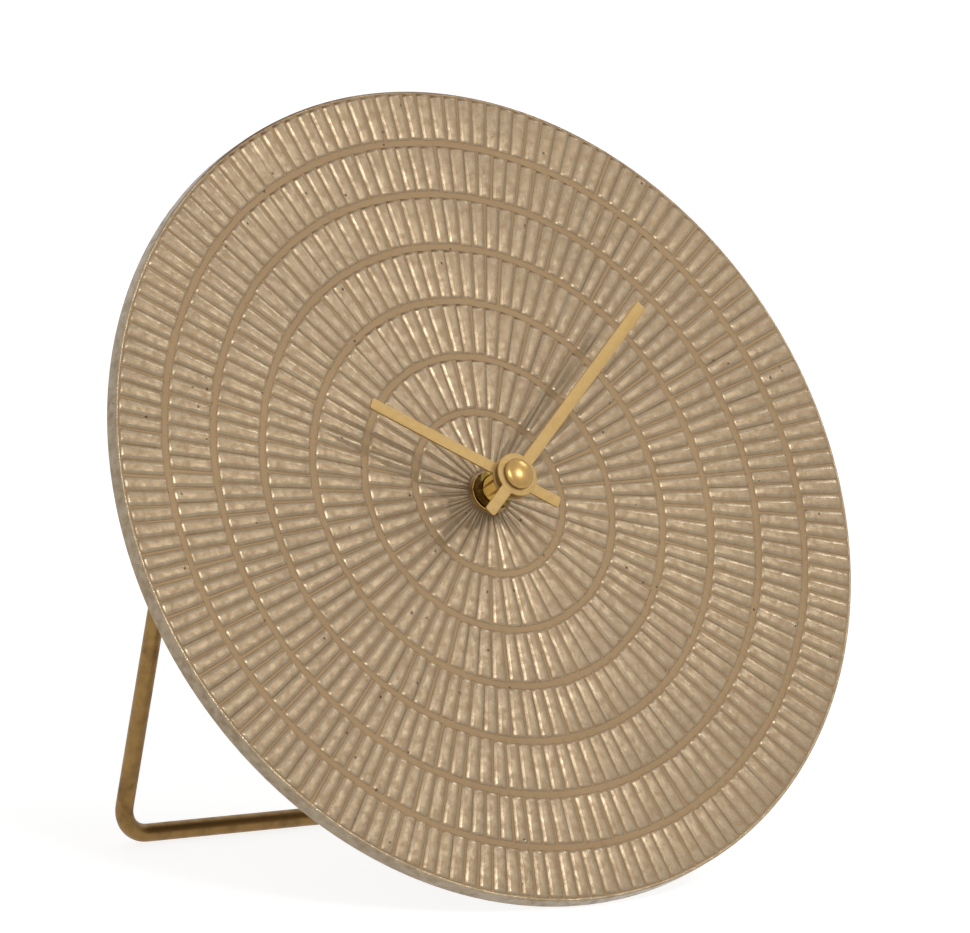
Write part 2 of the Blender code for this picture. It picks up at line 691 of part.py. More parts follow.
def make_circuit(head):
    # The board fills the corner between the battery's bay, the stator and the minute wheel's arbor.
    left = fit_gap - room_half
    low = divider_top_y + fit_gap
    right = minute_wheel_place[0] - arbor_radius - board_space
    high = window_low - stator_margin - board_space
    front = level_top(train_levels)
    outline = rounded_box(left, low, right, high, bay_corner)
    board = plate_mesh("circuit_board", [outline], front - board_thickness, front)
    add_piece("circuit_board", board, "green board", head)
    place = ((2 * left + right) / 3, (low + high) / 2, front - board_thickness - fit_gap - crystal_radius)
    crystal = cylinder_mesh("quartz_crystal", crystal_radius, -crystal_length / 2, crystal_length / 2)
    add_piece("quartz_crystal", crystal, "steel", head, place, (math.pi / 2, 0, 0))


def make_case(head):
    shell = plate_mesh("movement_case", [rounded_box(-case_half, -case_half, case_half, case_half,
                                                     case_corner)], case_back_z, case_front_z)
    case = add_piece("movement_case", shell, "black plastic", head)
    rooms = (("gear_room", divider_top_y, room_half), ("battery_bay", -room_half, divider_low_y))
    for name, low, high in rooms:
        outline = rounded_box(-room_half, low, room_half, high, bay_corner)
        combine(case, "DIFFERENCE", plate_mesh(name, [outline], case_back_z - cut_overrun, room_front_z))
    hole = cylinder_mesh("pipe_hole", pipe_radius + run_gap, room_front_z - cut_overrun,
                         case_front_z + cut_overrun, steps=round_steps)
    combine(case, "DIFFERENCE", hole)
    across = Matrix.Translation((0, -case_half, case_back_z)) @ Matrix.Rotation(math.pi / 2, 4, "X")
    notch = cylinder_mesh("finger_notch", notch_radius, -case_wall - cut_overrun, cut_overrun,
                          steps=inner_steps, turn=across)
    combine(case, "DIFFERENCE", notch)
    neck_x = (window_right + rotor_x - rotor_radius - rotor_air_gap) / 2
    posts = (((window_left + stator_left) / 2, rotor_y), (neck_x, rotor_y + coil_radius))
    for index, place in enumerate(posts):
        post = cylinder_mesh("stator_post_" + str(index), stator_post_radius,
                             level_top(train_levels) + fit_gap, room_front_z + case_wall / 2,
                             turn=Matrix.Translation((*place, 0)))
        combine(case, "UNION", post)


def make_cover(head):
    edge = room_half - fit_gap
    outline = rounded_box(-edge, divider_top_y + fit_gap, edge, edge, bay_corner)
    cover = plate_mesh("movement_cover", [outline, circle(shaft_radius + run_gap, small_steps)],
                       case_back_z, cover_front_z)
    add_piece("movement_cover", cover, "black plastic", head)
    flutes = []
    for index in range(2 * knob_flutes):
        radius = knob_radius - knob_flute_depth * (index % 2)
        angle = index * math.pi / knob_flutes
        flutes.append((radius * math.cos(angle), radius * math.sin(angle)))
    knob_top = case_back_z - end_gap
    knob = plate_mesh("setting_knob", [flutes, circle(shaft_radius + fit_gap, small_steps)],
                      knob_top - knob_thickness, knob_top)
    add_piece("setting_knob", knob, "white plastic", head)


def make_battery(head):
    half = battery_length / 2
    body = battery_radius - battery_edge
    profile = [(0, half + battery_nub_height), (battery_nub_radius, half + battery_nub_height),
               (battery_nub_radius, half), (body, half), (battery_radius, half - battery_edge),
               (battery_radius, battery_edge - half), (body, -half), (0, -half)]
    add_piece("battery", turned_mesh("battery", profile, inner_steps), "battery wrap", head,
              (battery_x, battery_y, battery_z), (0, math.pi / 2, 0))


def make_contacts(head):
    # The positive contact is a flat leaf on its wall; the negative one is bowed towards the battery.
    side = contact_width / 2
    leaf = plate_mesh("positive_contact", [rounded_box(-side, -side, side, side, bay_corner)],
                      -contact_thickness, 0)
    wall = room_half - fit_gap
    add_piece("positive_contact", leaf, "steel", head, (wall, battery_y, battery_z), (0, math.pi / 2, 0))
    rise = battery_x - battery_length / 2 - fit_gap + wall
    bow = (side ** 2 + rise ** 2) / (2 * rise)
    centre = (rise - bow, 0)
    outer = math.atan2(side, bow - rise)
    inner = math.acos((bow - rise) / (bow - contact_thickness))
    outline = arc(centre, bow, -outer, outer, screw_steps)
    outline += arc(centre, bow - contact_thickness, inner, -inner, screw_steps)
    spring = plate_mesh("negative_contact", [outline], -side, side)
    add_piece("negative_contact", spring, "steel", head, (-wall, battery_y, battery_z))


def set_on_table(root):
    # The clock stands on z = 0, with its front and back equally far from the origin.
    bpy.context.view_layer.update()
    depsgraph = bpy.context.evaluated_depsgraph_get()
    corners = []
    for piece in collections["table_clock"].objects:
        if piece.type != "EMPTY":
            shown = piece.evaluated_get(depsgraph)
            mesh = shown.to_mesh()
            corners += [shown.matrix_world @ vert.co for vert in mesh.vertices]
            shown.to_mesh_clear()
    lows = [min(corner[axis] for corner in corners) for axis in range(3)]
    highs = [max(corner[axis] for corner in corners) for axis in range(3)]
    root.location = (-(lows[0] + highs[0]) / 2, -(lows[1] + highs[1]) / 2, -lows[2])


def build_clock():
    root = make_frame("clock")
    head = make_frame("disc_frame", root, (0, 0, centre_height), (math.pi / 2 - lean_back, 0, 0))
    make_dial_disc(head)
    make_stand(head)
    make_hinge(head)
    make_front(head)
    make_motion_work(head)
    make_going_train(head)
    make_stator(head)
    make_coil(head)
    make_circuit(head)
    make_case(head)
    make_cover(head)
    make_battery(head)
    make_contacts(head)
    set_on_table(root)
    bpy.context.view_layer.update()


collections = start_scene()
build_clock()
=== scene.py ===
import json
import math
import random

import bmesh
import bpy
from mathutils import Matrix, Vector, noise


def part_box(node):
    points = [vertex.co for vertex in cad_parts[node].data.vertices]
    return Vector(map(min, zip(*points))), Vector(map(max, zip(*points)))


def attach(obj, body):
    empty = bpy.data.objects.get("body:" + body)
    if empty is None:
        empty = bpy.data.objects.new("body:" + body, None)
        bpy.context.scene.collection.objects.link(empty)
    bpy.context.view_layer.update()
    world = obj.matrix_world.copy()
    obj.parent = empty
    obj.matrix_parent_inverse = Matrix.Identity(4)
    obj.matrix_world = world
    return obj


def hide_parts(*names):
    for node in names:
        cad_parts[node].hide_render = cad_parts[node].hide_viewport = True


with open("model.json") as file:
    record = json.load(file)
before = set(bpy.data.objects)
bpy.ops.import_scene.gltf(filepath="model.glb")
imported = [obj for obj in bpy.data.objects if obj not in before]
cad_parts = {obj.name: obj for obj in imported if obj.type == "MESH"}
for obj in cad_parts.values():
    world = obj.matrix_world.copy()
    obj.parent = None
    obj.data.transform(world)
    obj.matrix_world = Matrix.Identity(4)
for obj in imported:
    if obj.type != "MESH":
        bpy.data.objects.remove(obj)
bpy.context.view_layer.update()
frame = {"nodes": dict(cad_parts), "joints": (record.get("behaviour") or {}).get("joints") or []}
print("frame loaded:", len(frame["nodes"]), "nodes")

mm = 0.001
mergeGap = 0.002 * mm       # points nearer than this are one point
loopReach = 0.02 * mm       # how far off its circle an open loop's points may lie
quarterTurn = math.pi / 2

# The disc's own frame: x across, y up along the disc, z straight out of its face
joints = {joint["name"]: joint for joint in frame["joints"]}
hub = Vector(joints["minute_turn"]["pos_m"])
outward = -Vector(joints["minute_turn"]["axis"]).normalized()
across = Vector((1, 0, 0))
discTurn = Matrix((across, outward.cross(across), outward)).transposed()
discPlace = Matrix.Translation(hub) @ discTurn.to_4x4()

# The stand's frame: x along its pivot, y up the legs
pivot = Vector(joints["stand_fold"]["pos_m"])
rodLow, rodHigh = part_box("stand_rod")
rodRadius = 2.25 * mm
barCentre = Vector((0, rodHigh.y - rodRadius, rodLow.z + rodRadius))
legUp = (pivot - barCentre).normalized()
standTurn = Matrix((across, legUp, across.cross(legUp))).transposed()
standPlace = Matrix.Translation(pivot) @ standTurn.to_4x4()


# Small helpers for node materials

def newMaterial(name):
    material = bpy.data.materials.new(name)
    material.use_nodes = True
    tree = material.node_tree
    return material, tree, tree.nodes["Principled BSDF"]


def addNode(tree, kind, **values):
    # Each value sets a property of the node or, where it has none of that name, an input.
    node = tree.nodes.new("ShaderNode" + kind)
    for key, value in values.items():
        if hasattr(node, key):
            setattr(node, key, value)
        else:
            node.inputs[key].default_value = value
    return node


def localPoints(tree, place=None):
    # Object coordinates, turned into a piece's own frame where one is given.
    source = addNode(tree, "TexCoord").outputs["Object"]
    if place is None:
        return source
    mapping = addNode(tree, "Mapping")
    back = place.inverted()
    mapping.inputs["Location"].default_value = back.to_translation()
    mapping.inputs["Rotation"].default_value = back.to_euler()
    tree.links.new(source, mapping.inputs["Vector"])
    return mapping.outputs["Vector"]


def noiseAt(tree, points, scale, detail=3.0, roughness=0.55):
    node = addNode(tree, "TexNoise", Scale=scale, Detail=detail, Roughness=roughness)
    tree.links.new(points, node.inputs["Vector"])
    return node.outputs["Fac"]


def spread(tree, value, low, high, toLow=0.0, toHigh=1.0):
    node = addNode(tree, "MapRange")
    node.inputs["From Min"].default_value = low
    node.inputs["From Max"].default_value = high
    node.inputs["To Min"].default_value = toLow
    node.inputs["To Max"].default_value = toHigh
    tree.links.new(value, node.inputs["Value"])
    return node.outputs["Result"]


def mathOf(tree, operation, first, second):
    node = addNode(tree, "Math", operation=operation)
    for index, value in enumerate((first, second)):
        if isinstance(value, (int, float)):
            node.inputs[index].default_value = value
        else:
            tree.links.new(value, node.inputs[index])
    return node.outputs["Value"]


def mixOf(tree, share, first, second, blend="MIX"):
    node = addNode(tree, "Mix", data_type="RGBA", blend_type=blend)
    # Input 0 is the share, inputs 6 and 7 are the colours, and output 2 is the mixed colour
    for index, value in ((0, share), (6, first), (7, second)):
        socket = node.inputs[index]
        if isinstance(value, tuple):
            socket.default_value = (*value, 1)
        elif isinstance(value, (int, float)):
            socket.default_value = value
        else:
            tree.links.new(value, socket)
    return node.outputs[2]


def bumpOf(tree, shader, height, strength, distance, below=None):
    node = addNode(tree, "Bump", Strength=strength, Distance=distance)
    tree.links.new(height, node.inputs["Height"])
    if below is not None:
        tree.links.new(below, node.inputs["Normal"])
    tree.links.new(node.outputs["Normal"], shader.inputs["Normal"])
    return node.outputs["Normal"]


def srgb(red, green, blue):
    # A colour as seen on a screen, 0 to 255, turned into the shader's own scale.
    def one(value):
        share = value / 255
        return share / 12.92 if share <= 0.04045 else ((share + 0.055) / 1.055) ** 2.4
    return one(red), one(green), one(blue)


# Finishes

castSettings = {
    # The bar tops are painted darker than the valleys and grooves, a painted evening-out of the
    # lamps' stronger light on the tops and the shade in the hollows
    "barTop": srgb(140, 117, 86),
    "valley": srgb(153, 127, 93),
    # Colour of the painted shade at the bars' outward ends
    "nook": srgb(98, 72, 46),
    "rubbed": srgb(212, 197, 172),
    "olive": srgb(146, 126, 80),
    "ochre": srgb(150, 114, 66),
    "pit": srgb(70, 50, 34),
    "metallic": 0.55,
    "dullest": 0.56,
    "shiniest": 0.26,
    "broadScale": 26.0,
    "mottleScale": 420.0,
    "patchScale": 700.0,
    "grainScale": 1900.0,
    "pitScale": 260.0,
    "pitlessShare": 0.8,        # of the cells that could each hold a pit
    "mottleBump": (0.5, 0.1 * mm),      # strength, then depth
    "grainBump": (0.35, 0.04 * mm),
    "pitBump": (0.8, 0.15 * mm),
}


def makeCastMetal():
    chosen = castSettings
    material, tree, shader = newMaterial("castChampagneMetal")
    points = localPoints(tree, discPlace)
    rub = addNode(tree, "Attribute", attribute_name="rub").outputs["Fac"]
    rise = addNode(tree, "Attribute", attribute_name="rise").outputs["Fac"]
    # The share of painted shade, drawn on the mesh at the bars' outward ends
    nook = addNode(tree, "Attribute", attribute_name="nook").outputs["Fac"]
    broad = noiseAt(tree, points, chosen["broadScale"], 2.0)
    mottle = noiseAt(tree, points, chosen["mottleScale"], 4.0, 0.65)
    grain = noiseAt(tree, points, chosen["grainScale"], 3.0, 0.6)
    # Valleys and grooves take a lighter colour than the bar tops: painted evening-out of the lamps'
    # stronger light on the tops and the shade in the hollows
    body = mixOf(tree, spread(tree, rise, 0.0, 0.4), chosen["valley"], chosen["barTop"])
    tint = mathOf(tree, "MULTIPLY", spread(tree, mottle, 0.52, 0.72), 0.5)
    body = mixOf(tree, tint, body, chosen["olive"])

    # Ochre patches low on the flanks, where the rubbing begins
    patch = noiseAt(tree, points, chosen["patchScale"], 2.0)
    crease = spread(tree, rub, 0.02, 0.35, 0.0, 1.0)
    crease = mathOf(tree, "MULTIPLY", crease, spread(tree, rub, 0.35, 0.9, 1.0, 0.0))
    tint = mathOf(tree, "MULTIPLY", crease, spread(tree, patch, 0.46, 0.7, 0.1, 0.7))
    body = mixOf(tree, tint, body, chosen["ochre"])

    # Broad lighter and darker areas, edges rubbed bright, and painted shade at the bars' outward
    # ends in the disc's upper part
    shade = mixOf(tree, spread(tree, broad, 0.3, 0.7), (0.93, 0.92, 0.91), (1.05, 1.05, 1.04))
    body = mixOf(tree, 1.0, body, shade, "MULTIPLY")
    patchy = mathOf(tree, "MULTIPLY", rub, spread(tree, mottle, 0.36, 0.6, 0.35, 1.0))
    body = mixOf(tree, mathOf(tree, "MULTIPLY", patchy, 0.45), body, chosen["rubbed"])
    # Painted shade at the bars' outward ends, its strength varied in broad patches
    dark = mathOf(tree, "MULTIPLY", nook, spread(tree, broad, 0.35, 0.6, 0.35, 0.9))
    body = mixOf(tree, dark, body, chosen["nook"])

    # Small round pits in a few cells of a loose pattern, each cell's lot drawn by its colour
    cells = addNode(tree, "TexVoronoi", feature="F1", Scale=chosen["pitScale"])
    tree.links.new(points, cells.inputs["Vector"])
    lot = addNode(tree, "SeparateColor")
    tree.links.new(cells.outputs["Color"], lot.inputs["Color"])
    near = spread(tree, cells.outputs["Distance"], 0.045, 0.11, 1.0, 0.0)
    drawn = mathOf(tree, "GREATER_THAN", lot.outputs["Red"], chosen["pitlessShare"])
    pits = mathOf(tree, "MULTIPLY", near, drawn)
    body = mixOf(tree, mathOf(tree, "MULTIPLY", pits, 0.85), body, chosen["pit"])

    tree.links.new(body, shader.inputs["Base Color"])
    gloss = spread(tree, patchy, 0.0, 0.8, chosen["dullest"], chosen["shiniest"])
    tree.links.new(gloss, shader.inputs["Roughness"])
    shader.inputs["Metallic"].default_value = chosen["metallic"]
    raised = mathOf(tree, "MULTIPLY", mottle, rise)
    low = bumpOf(tree, shader, raised, *chosen["mottleBump"])
    low = bumpOf(tree, shader, grain, *chosen["grainBump"], low)
    bumpOf(tree, shader, mathOf(tree, "MULTIPLY", pits, -1.0), *chosen["pitBump"], low)
    return material


metalSettings = {
    "handGold": {"base": srgb(203, 167, 102), "dark": srgb(195, 159, 95), "metallic": 0.3,
                 "roughness": (0.5, 0.62), "scale": 900.0, "bump": 0.006 * mm},
    "brightBrass": {"base": srgb(186, 146, 74), "dark": srgb(140, 100, 44), "metallic": 1.0,
                    "roughness": (0.16, 0.28), "scale": 700.0, "bump": 0.006 * mm},
    "agedBrass": {"base": srgb(148, 116, 68), "dark": srgb(108, 80, 46), "metallic": 0.85,
                  "roughness": (0.36, 0.5), "scale": 240.0, "bump": 0.02 * mm},
    "nutBrass": {"base": srgb(134, 110, 52), "dark": srgb(88, 70, 30), "metallic": 1.0,
                 "roughness": (0.2, 0.34), "scale": 700.0, "bump": 0.008 * mm},
    "capBrass": {"base": srgb(184, 148, 86), "dark": srgb(172, 130, 70), "metallic": 0.65,
                 "roughness": (0.2, 0.28), "scale": 900.0, "bump": 0.003 * mm},
    "plainSteel": {"base": srgb(188, 188, 186), "dark": srgb(140, 140, 138), "metallic": 1.0,
                   "roughness": (0.22, 0.36), "scale": 800.0, "bump": 0.008 * mm},
}


def makeMetal(name):
    chosen = metalSettings[name]
    material, tree, shader = newMaterial(name)
    points = localPoints(tree)
    mottle = noiseAt(tree, points, chosen["scale"], 4.0, 0.6)
    broad = noiseAt(tree, points, chosen["scale"] / 9, 2.0)
    share = mathOf(tree, "MULTIPLY",
                   spread(tree, mottle, 0.4, 0.75), spread(tree, broad, 0.3, 0.65))
    body = mixOf(tree, share, chosen["base"], chosen["dark"])
    tree.links.new(body, shader.inputs["Base Color"])
    smooth, dull = chosen["roughness"]
    tree.links.new(spread(tree, mottle, 0.35, 0.7, smooth, dull), shader.inputs["Roughness"])
    shader.inputs["Metallic"].default_value = chosen["metallic"]
    bumpOf(tree, shader, mottle, 0.4, chosen["bump"])
    return material


plasticSettings = {
    "blackPlastic": {"base": srgb(38, 38, 40), "worn": srgb(58, 58, 60),
                     "roughness": (0.42, 0.6), "grain": 2600.0, "bump": 0.03 * mm},
    "whitePlastic": {"base": srgb(228, 226, 216), "worn": srgb(212, 208, 196),
                     "roughness": (0.36, 0.5), "grain": 1500.0, "bump": 0.01 * mm},
    "blackRubber": {"base": srgb(30, 30, 30), "worn": srgb(48, 47, 46),
                    "roughness": (0.75, 0.9), "grain": 1800.0, "bump": 0.04 * mm},
    "greenBoard": {"base": srgb(38, 104, 60), "worn": srgb(24, 76, 44),
                   "roughness": (0.35, 0.5), "grain": 600.0, "bump": 0.02 * mm},
}


def makePlastic(name):
    chosen = plasticSettings[name]
    material, tree, shader = newMaterial(name)
    points = localPoints(tree)
    grain = noiseAt(tree, points, chosen["grain"], 2.0)
    broad = noiseAt(tree, points, 90.0, 3.0)
    body = mixOf(tree, spread(tree, broad, 0.4, 0.75), chosen["base"], chosen["worn"])
    tree.links.new(body, shader.inputs["Base Color"])
    smooth, dull = chosen["roughness"]
    tree.links.new(spread(tree, broad, 0.3, 0.7, smooth, dull), shader.inputs["Roughness"])
    bumpOf(tree, shader, grain, 0.5, chosen["bump"])
    return material


batteryFinish = {
    "sleeve": srgb(44, 47, 52),
    "band": srgb(176, 176, 172),
    "bandStart": 13.0 * mm,     # along the battery from its middle
    "scuffed": srgb(120, 120, 120),
    "metal": srgb(196, 194, 188),
    "sleeveEnd": 24.2 * mm,
}


def makeBatteryWrap(place):
    # A dark shrunk sleeve with a pale band towards the raised end, and bare metal at both ends.
    material, tree, shader = newMaterial("batteryWrap")
    points = localPoints(tree, place)
    parts = addNode(tree, "SeparateXYZ")
    tree.links.new(points, parts.inputs["Vector"])
    along = parts.outputs["Z"]
    scuff = noiseAt(tree, points, 500.0, 4.0, 0.7)
    band = mathOf(tree, "GREATER_THAN", along, batteryFinish["bandStart"])
    body = mixOf(tree, band, batteryFinish["sleeve"], batteryFinish["band"])
    worn = spread(tree, scuff, 0.55, 0.8, 0.0, 0.35)
    body = mixOf(tree, worn, body, batteryFinish["scuffed"])
    far = mathOf(tree, "ABSOLUTE", along, 0.0)
    bare = mathOf(tree, "GREATER_THAN", far, batteryFinish["sleeveEnd"])
    tree.links.new(mixOf(tree, bare, body, batteryFinish["metal"]), shader.inputs["Base Color"])
    tree.links.new(bare, shader.inputs["Metallic"])
    tree.links.new(spread(tree, scuff, 0.3, 0.7, 0.22, 0.4), shader.inputs["Roughness"])
    bumpOf(tree, shader, scuff, 0.3, 0.01 * mm)
    return material


wireSettings = {
    "shade": srgb(120, 58, 30),
    "wire": srgb(206, 122, 72),
    "turnScale": 900.0,
    "waver": 0.6,
    "metallic": 0.9,
    "roughness": 0.32,
}


def makeCopperWire():
    # Fine turns wound round the coil, which lies along x.
    material, tree, shader = newMaterial("copperWinding")
    points = localPoints(tree)
    turns = addNode(tree, "TexWave", bands_direction="X", Scale=wireSettings["turnScale"],
                    Distortion=wireSettings["waver"])
    tree.links.new(points, turns.inputs["Vector"])
    body = mixOf(tree, turns.outputs["Fac"], wireSettings["shade"], wireSettings["wire"])
    tree.links.new(body, shader.inputs["Base Color"])
    shader.inputs["Metallic"].default_value = wireSettings["metallic"]
    shader.inputs["Roughness"].default_value = wireSettings["roughness"]
    bumpOf(tree, shader, turns.outputs["Fac"], 0.6, 0.05 * mm)
    return material


castMetal = makeCastMetal()
handGold = makeMetal("handGold")
brightBrass = makeMetal("brightBrass")
nutBrass = makeMetal("nutBrass")
capBrass = makeMetal("capBrass")
agedBrass = makeMetal("agedBrass")
plainSteel = makeMetal("plainSteel")
blackPlastic = makePlastic("blackPlastic")
whitePlastic = makePlastic("whitePlastic")
blackRubber = makePlastic("blackRubber")
greenBoard = makePlastic("greenBoard")
copperWire = makeCopperWire()
print("finishes made")


# Helpers for pieces

def tidyMesh(bm):
    bmesh.ops.remove_doubles(bm, verts=bm.verts, dist=mergeGap)
    bmesh.ops.recalc_face_normals(bm, faces=bm.faces)


def vertsOf(made):
    return [item for item in made["geom"] if isinstance(item, bmesh.types.BMVert)]


def edgesAt(verts):
    return list({edge for vert in verts for edge in vert.link_edges})


def allOf(bm):
    return list(bm.verts) + list(bm.edges) + list(bm.faces)


def quarterSteps(count):
    return [quarterTurn * step / count for step in range(count + 1)]


def addPiece(name, bm, place, material, body, nodes, sharpAngle=35):
    # Puts a finished bmesh into the scene, in place in its own mesh, and ties it to the frame.
    bm.transform(place)
    mesh = bpy.data.meshes.new(name)
    bm.to_mesh(mesh)
    bm.free()
    mesh.materials.append(material)
    mesh.shade_smooth()
    mesh.set_sharp_from_angle(angle=math.radians(sharpAngle))
    piece = bpy.data.objects.new(name, mesh)
    bpy.context.scene.collection.objects.link(piece)
    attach(piece, body)
    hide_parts(*nodes)


def spinProfile(bm, profile, steps):
    # Turns a profile of (radius, height) points round z; the profile may be closed by its axis.
    points = [bm.verts.new((radius, 0, height)) for radius, height in profile]
    edges = [bm.edges.new(pair) for pair in zip(points, points[1:])]
    bmesh.ops.spin(bm, geom=points + edges, cent=(0, 0, 0), axis=(0, 0, 1), angle=math.tau,
                   steps=steps, use_merge=True)


def turnedRing(profile, steps):
    bm = bmesh.new()
    spinProfile(bm, profile + profile[:1], steps)
    tidyMesh(bm)
    return bm


def openLoop(bm, radius, height):
    # The open edges that lie on one circle round z.
    return [edge for edge in bm.edges if edge.is_boundary and all(
            abs(vert.co.xy.length - radius) < loopReach and abs(vert.co.z - height) < loopReach
            for vert in edge.verts)]


# The cast disc

dialSettings = {
    "radius": 105.0 * mm,
    "thickness": 4.8 * mm,
    "ringEdgeShares": (0.2, 0.337, 0.475, 0.61, 0.741, 0.87),
    "barsPerRing": (30, 48, 72, 97, 116, 138, 160),
    "hubSeat": 5.4 * mm,
    "bore": 3.75 * mm,
    "endSpace": 1.3 * mm,
    "rimBorder": 0.7 * mm,
    "rimRound": 0.4 * mm,
    "relief": 0.32 * mm,
    "valleyDepth": 0.42 * mm,
    "valleyWall": 0.1 * mm,     # from a ring's edge to the foot of its bars
    "valleyShare": 0.08,        # of half a bar's pitch
    "flankWidth": 1.0 * mm,
    "flankShare": 0.58,         # the most that a flank takes of half the pitch
    "endLength": 0.7 * mm,
    "endTaperShare": 0.12,
    "seed": 7,
    "wanderShare": 0.06,        # of a pitch, how far the hand-cut bars stray
    "tilt": 0.012,              # radians, either way
    "widths": (0.93, 1.06),     # least and most, as shares of a bar's drawn width
    "lengths": (0.965, 1.01),
    "lifts": (-0.1, 0.0),       # as shares of the relief
    "wobbleReach": 0.05 * mm,
    "wobbleScale": 260.0,
    "wobbleRise": 0.4,
    "paintedShadeRise": 0.2,            # painted shade starts at this share of a flank's rise
    "paintedShadeSide": 0.25,           # and at this share of half a pitch past the bar's middle
    "paintedShadeFade": 0.6,
    "shadeTurn": 0.15,          # radians, from straight up to where the painted shade is darkest
    "shadeFrom": 0.5,
    "shadeFade": 0.3,
    "rimSteps": 288,
    "roundSteps": 4,
    "boreSteps": 48,
    "backRecess": 0.8 * mm,
    "backLand": 7.0 * mm,
    "backRound": 0.3 * mm,
    "sharpAngle": 15,
}

# Stations over a bar's flank: the share of the width passed, the share of the rise, then rub
flankStations = ((0.0, 0.0, 0.0), (0.14, 0.3, 0.4), (0.86, 0.94, 1.0), (1.0, 1.0, 0.5))
endStations = ((0.0, 0.0, 0.0), (0.2, 0.4, 0.6), (0.85, 0.95, 1.0), (1.0, 1.0, 0.5))


def oneBar(inner, outer, count):
    # One sector of a ring on a grid: the bar in its middle, and half a valley on each side,
    # which is deeper than the smooth grooves between the rings.
    chosen = dialSettings
    half = math.pi / count
    steps = [chosen["valleyWall"] + share * chosen["endLength"] for share, rise, rub in endStations]
    radii = [inner] + [inner + step for step in steps]
    radii += [outer - step for step in steps[::-1]] + [outer]
    alongs = [(0.0, 0.0)] + [(rise, rub) for share, rise, rub in endStations]
    alongs += alongs[::-1]
    last = len(radii) - 1
    bm = bmesh.new()
    rubLayer = bm.verts.layers.float.new("rub")
    riseLayer = bm.verts.layers.float.new("rise")
    paintedShadeLayer = bm.verts.layers.float.new("nook")
    bmesh.ops.create_grid(bm, x_segments=last, y_segments=last, size=1)
    for vert in bm.verts:
        row, column = (round((part + 1) / 2 * last) for part in vert.co.xy)
        radius, (along, endRub) = radii[row], alongs[row]
        width = half * radius
        inside = 0 < row < last
        draw = 1 - chosen["endTaperShare"] * (1 - along) if inside else 1
        floor = -(chosen["valleyDepth"] if inside else chosen["relief"])
        crown = -chosen["relief"] * (1 - along)
        station = min(column, last - column)
        away, rise, rub = width, 0.0, 0.0
        if station:
            share, rise, rub = flankStations[station - 1]
            flank = min(chosen["flankWidth"], chosen["flankShare"] * width)
            away = (width - chosen["valleyShare"] * width - share * flank) * draw
        offset = away if column > last / 2 else -away
        angle = half + offset / radius
        height = floor + (crown - floor) * rise
        vert.co = (radius * math.cos(angle), radius * math.sin(angle), height)
        vert[rubLayer] = max(rub * along, endRub * rise)
        vert[riseLayer] = rise * along
        # Painted shade on the last rows of the bar's outward end, over the risen part of most of
        # its width
        if rise > chosen["paintedShadeRise"] and offset > -chosen["paintedShadeSide"] * width:
            paintedShadeRows = {last - 1: 1, last - 2: 1, last - 3: chosen["paintedShadeFade"]}
            vert[paintedShadeLayer] = paintedShadeRows.get(row, 0)
    return bm


def shadeAt(spot):
    # Painted shade at the bars' outward ends, kept to the disc's upper part only.
    chosen = dialSettings
    upward = math.cos(math.atan2(spot.x, spot.y) - chosen["shadeTurn"])
    return min(1.0, max(0.0, (upward - chosen["shadeFrom"]) / chosen["shadeFade"]))


def castRing(bm, inner, outer, count, wander):
    # Copies of one sector round the disc, each bar straying a little by chance.
    chosen = dialSettings
    paintedShadeLayer = bm.verts.layers.float["nook"]
    sector = oneBar(inner, outer, count)
    pitch = math.tau / count
    sector.verts.index_update()
    border = {vert.index for vert in sector.verts if vert.is_boundary}
    total = len(sector.verts)
    mesh = bpy.data.meshes.new("sector")
    sector.to_mesh(mesh)
    sector.free()
    middle = Vector(((inner + outer) / 2, 0, 0))
    middle.rotate(Matrix.Rotation(pitch / 2, 3, "Z"))
    toBar = Matrix.Rotation(-pitch / 2, 3, "Z")
    for step in range(count):
        before = len(bm.verts)
        bm.from_mesh(mesh)
        bm.verts.ensure_lookup_table()
        fresh = bm.verts[before:before + total]
        lean = wander.uniform(-1, 1) * chosen["wanderShare"] * pitch
        tilt = wander.uniform(-1, 1) * chosen["tilt"]
        width = wander.uniform(*chosen["widths"])
        length = wander.uniform(*chosen["lengths"])
        lift = wander.uniform(*chosen["lifts"]) * chosen["relief"]
        fromBar = Matrix.Rotation(pitch / 2 + tilt, 3, "Z")
        leaning = Matrix.Rotation(lean, 3, "Z")
        placed = Matrix.Rotation(step * pitch, 3, "Z")
        for index, vert in enumerate(fresh):
            if index not in border:
                height = vert.co.z
                local = toBar @ (vert.co - middle)
                local.x *= length
                local.y *= width
                moved = fromBar @ local + middle
                moved.z = height + lift * (1 + height / chosen["valleyDepth"])
                moved.rotate(leaning)
                vert.co = moved
            vert.co.rotate(placed)
            # Each copy keeps its painted shade only in the disc's upper part
            vert[paintedShadeLayer] *= shadeAt(vert.co)
    bpy.data.meshes.remove(mesh)


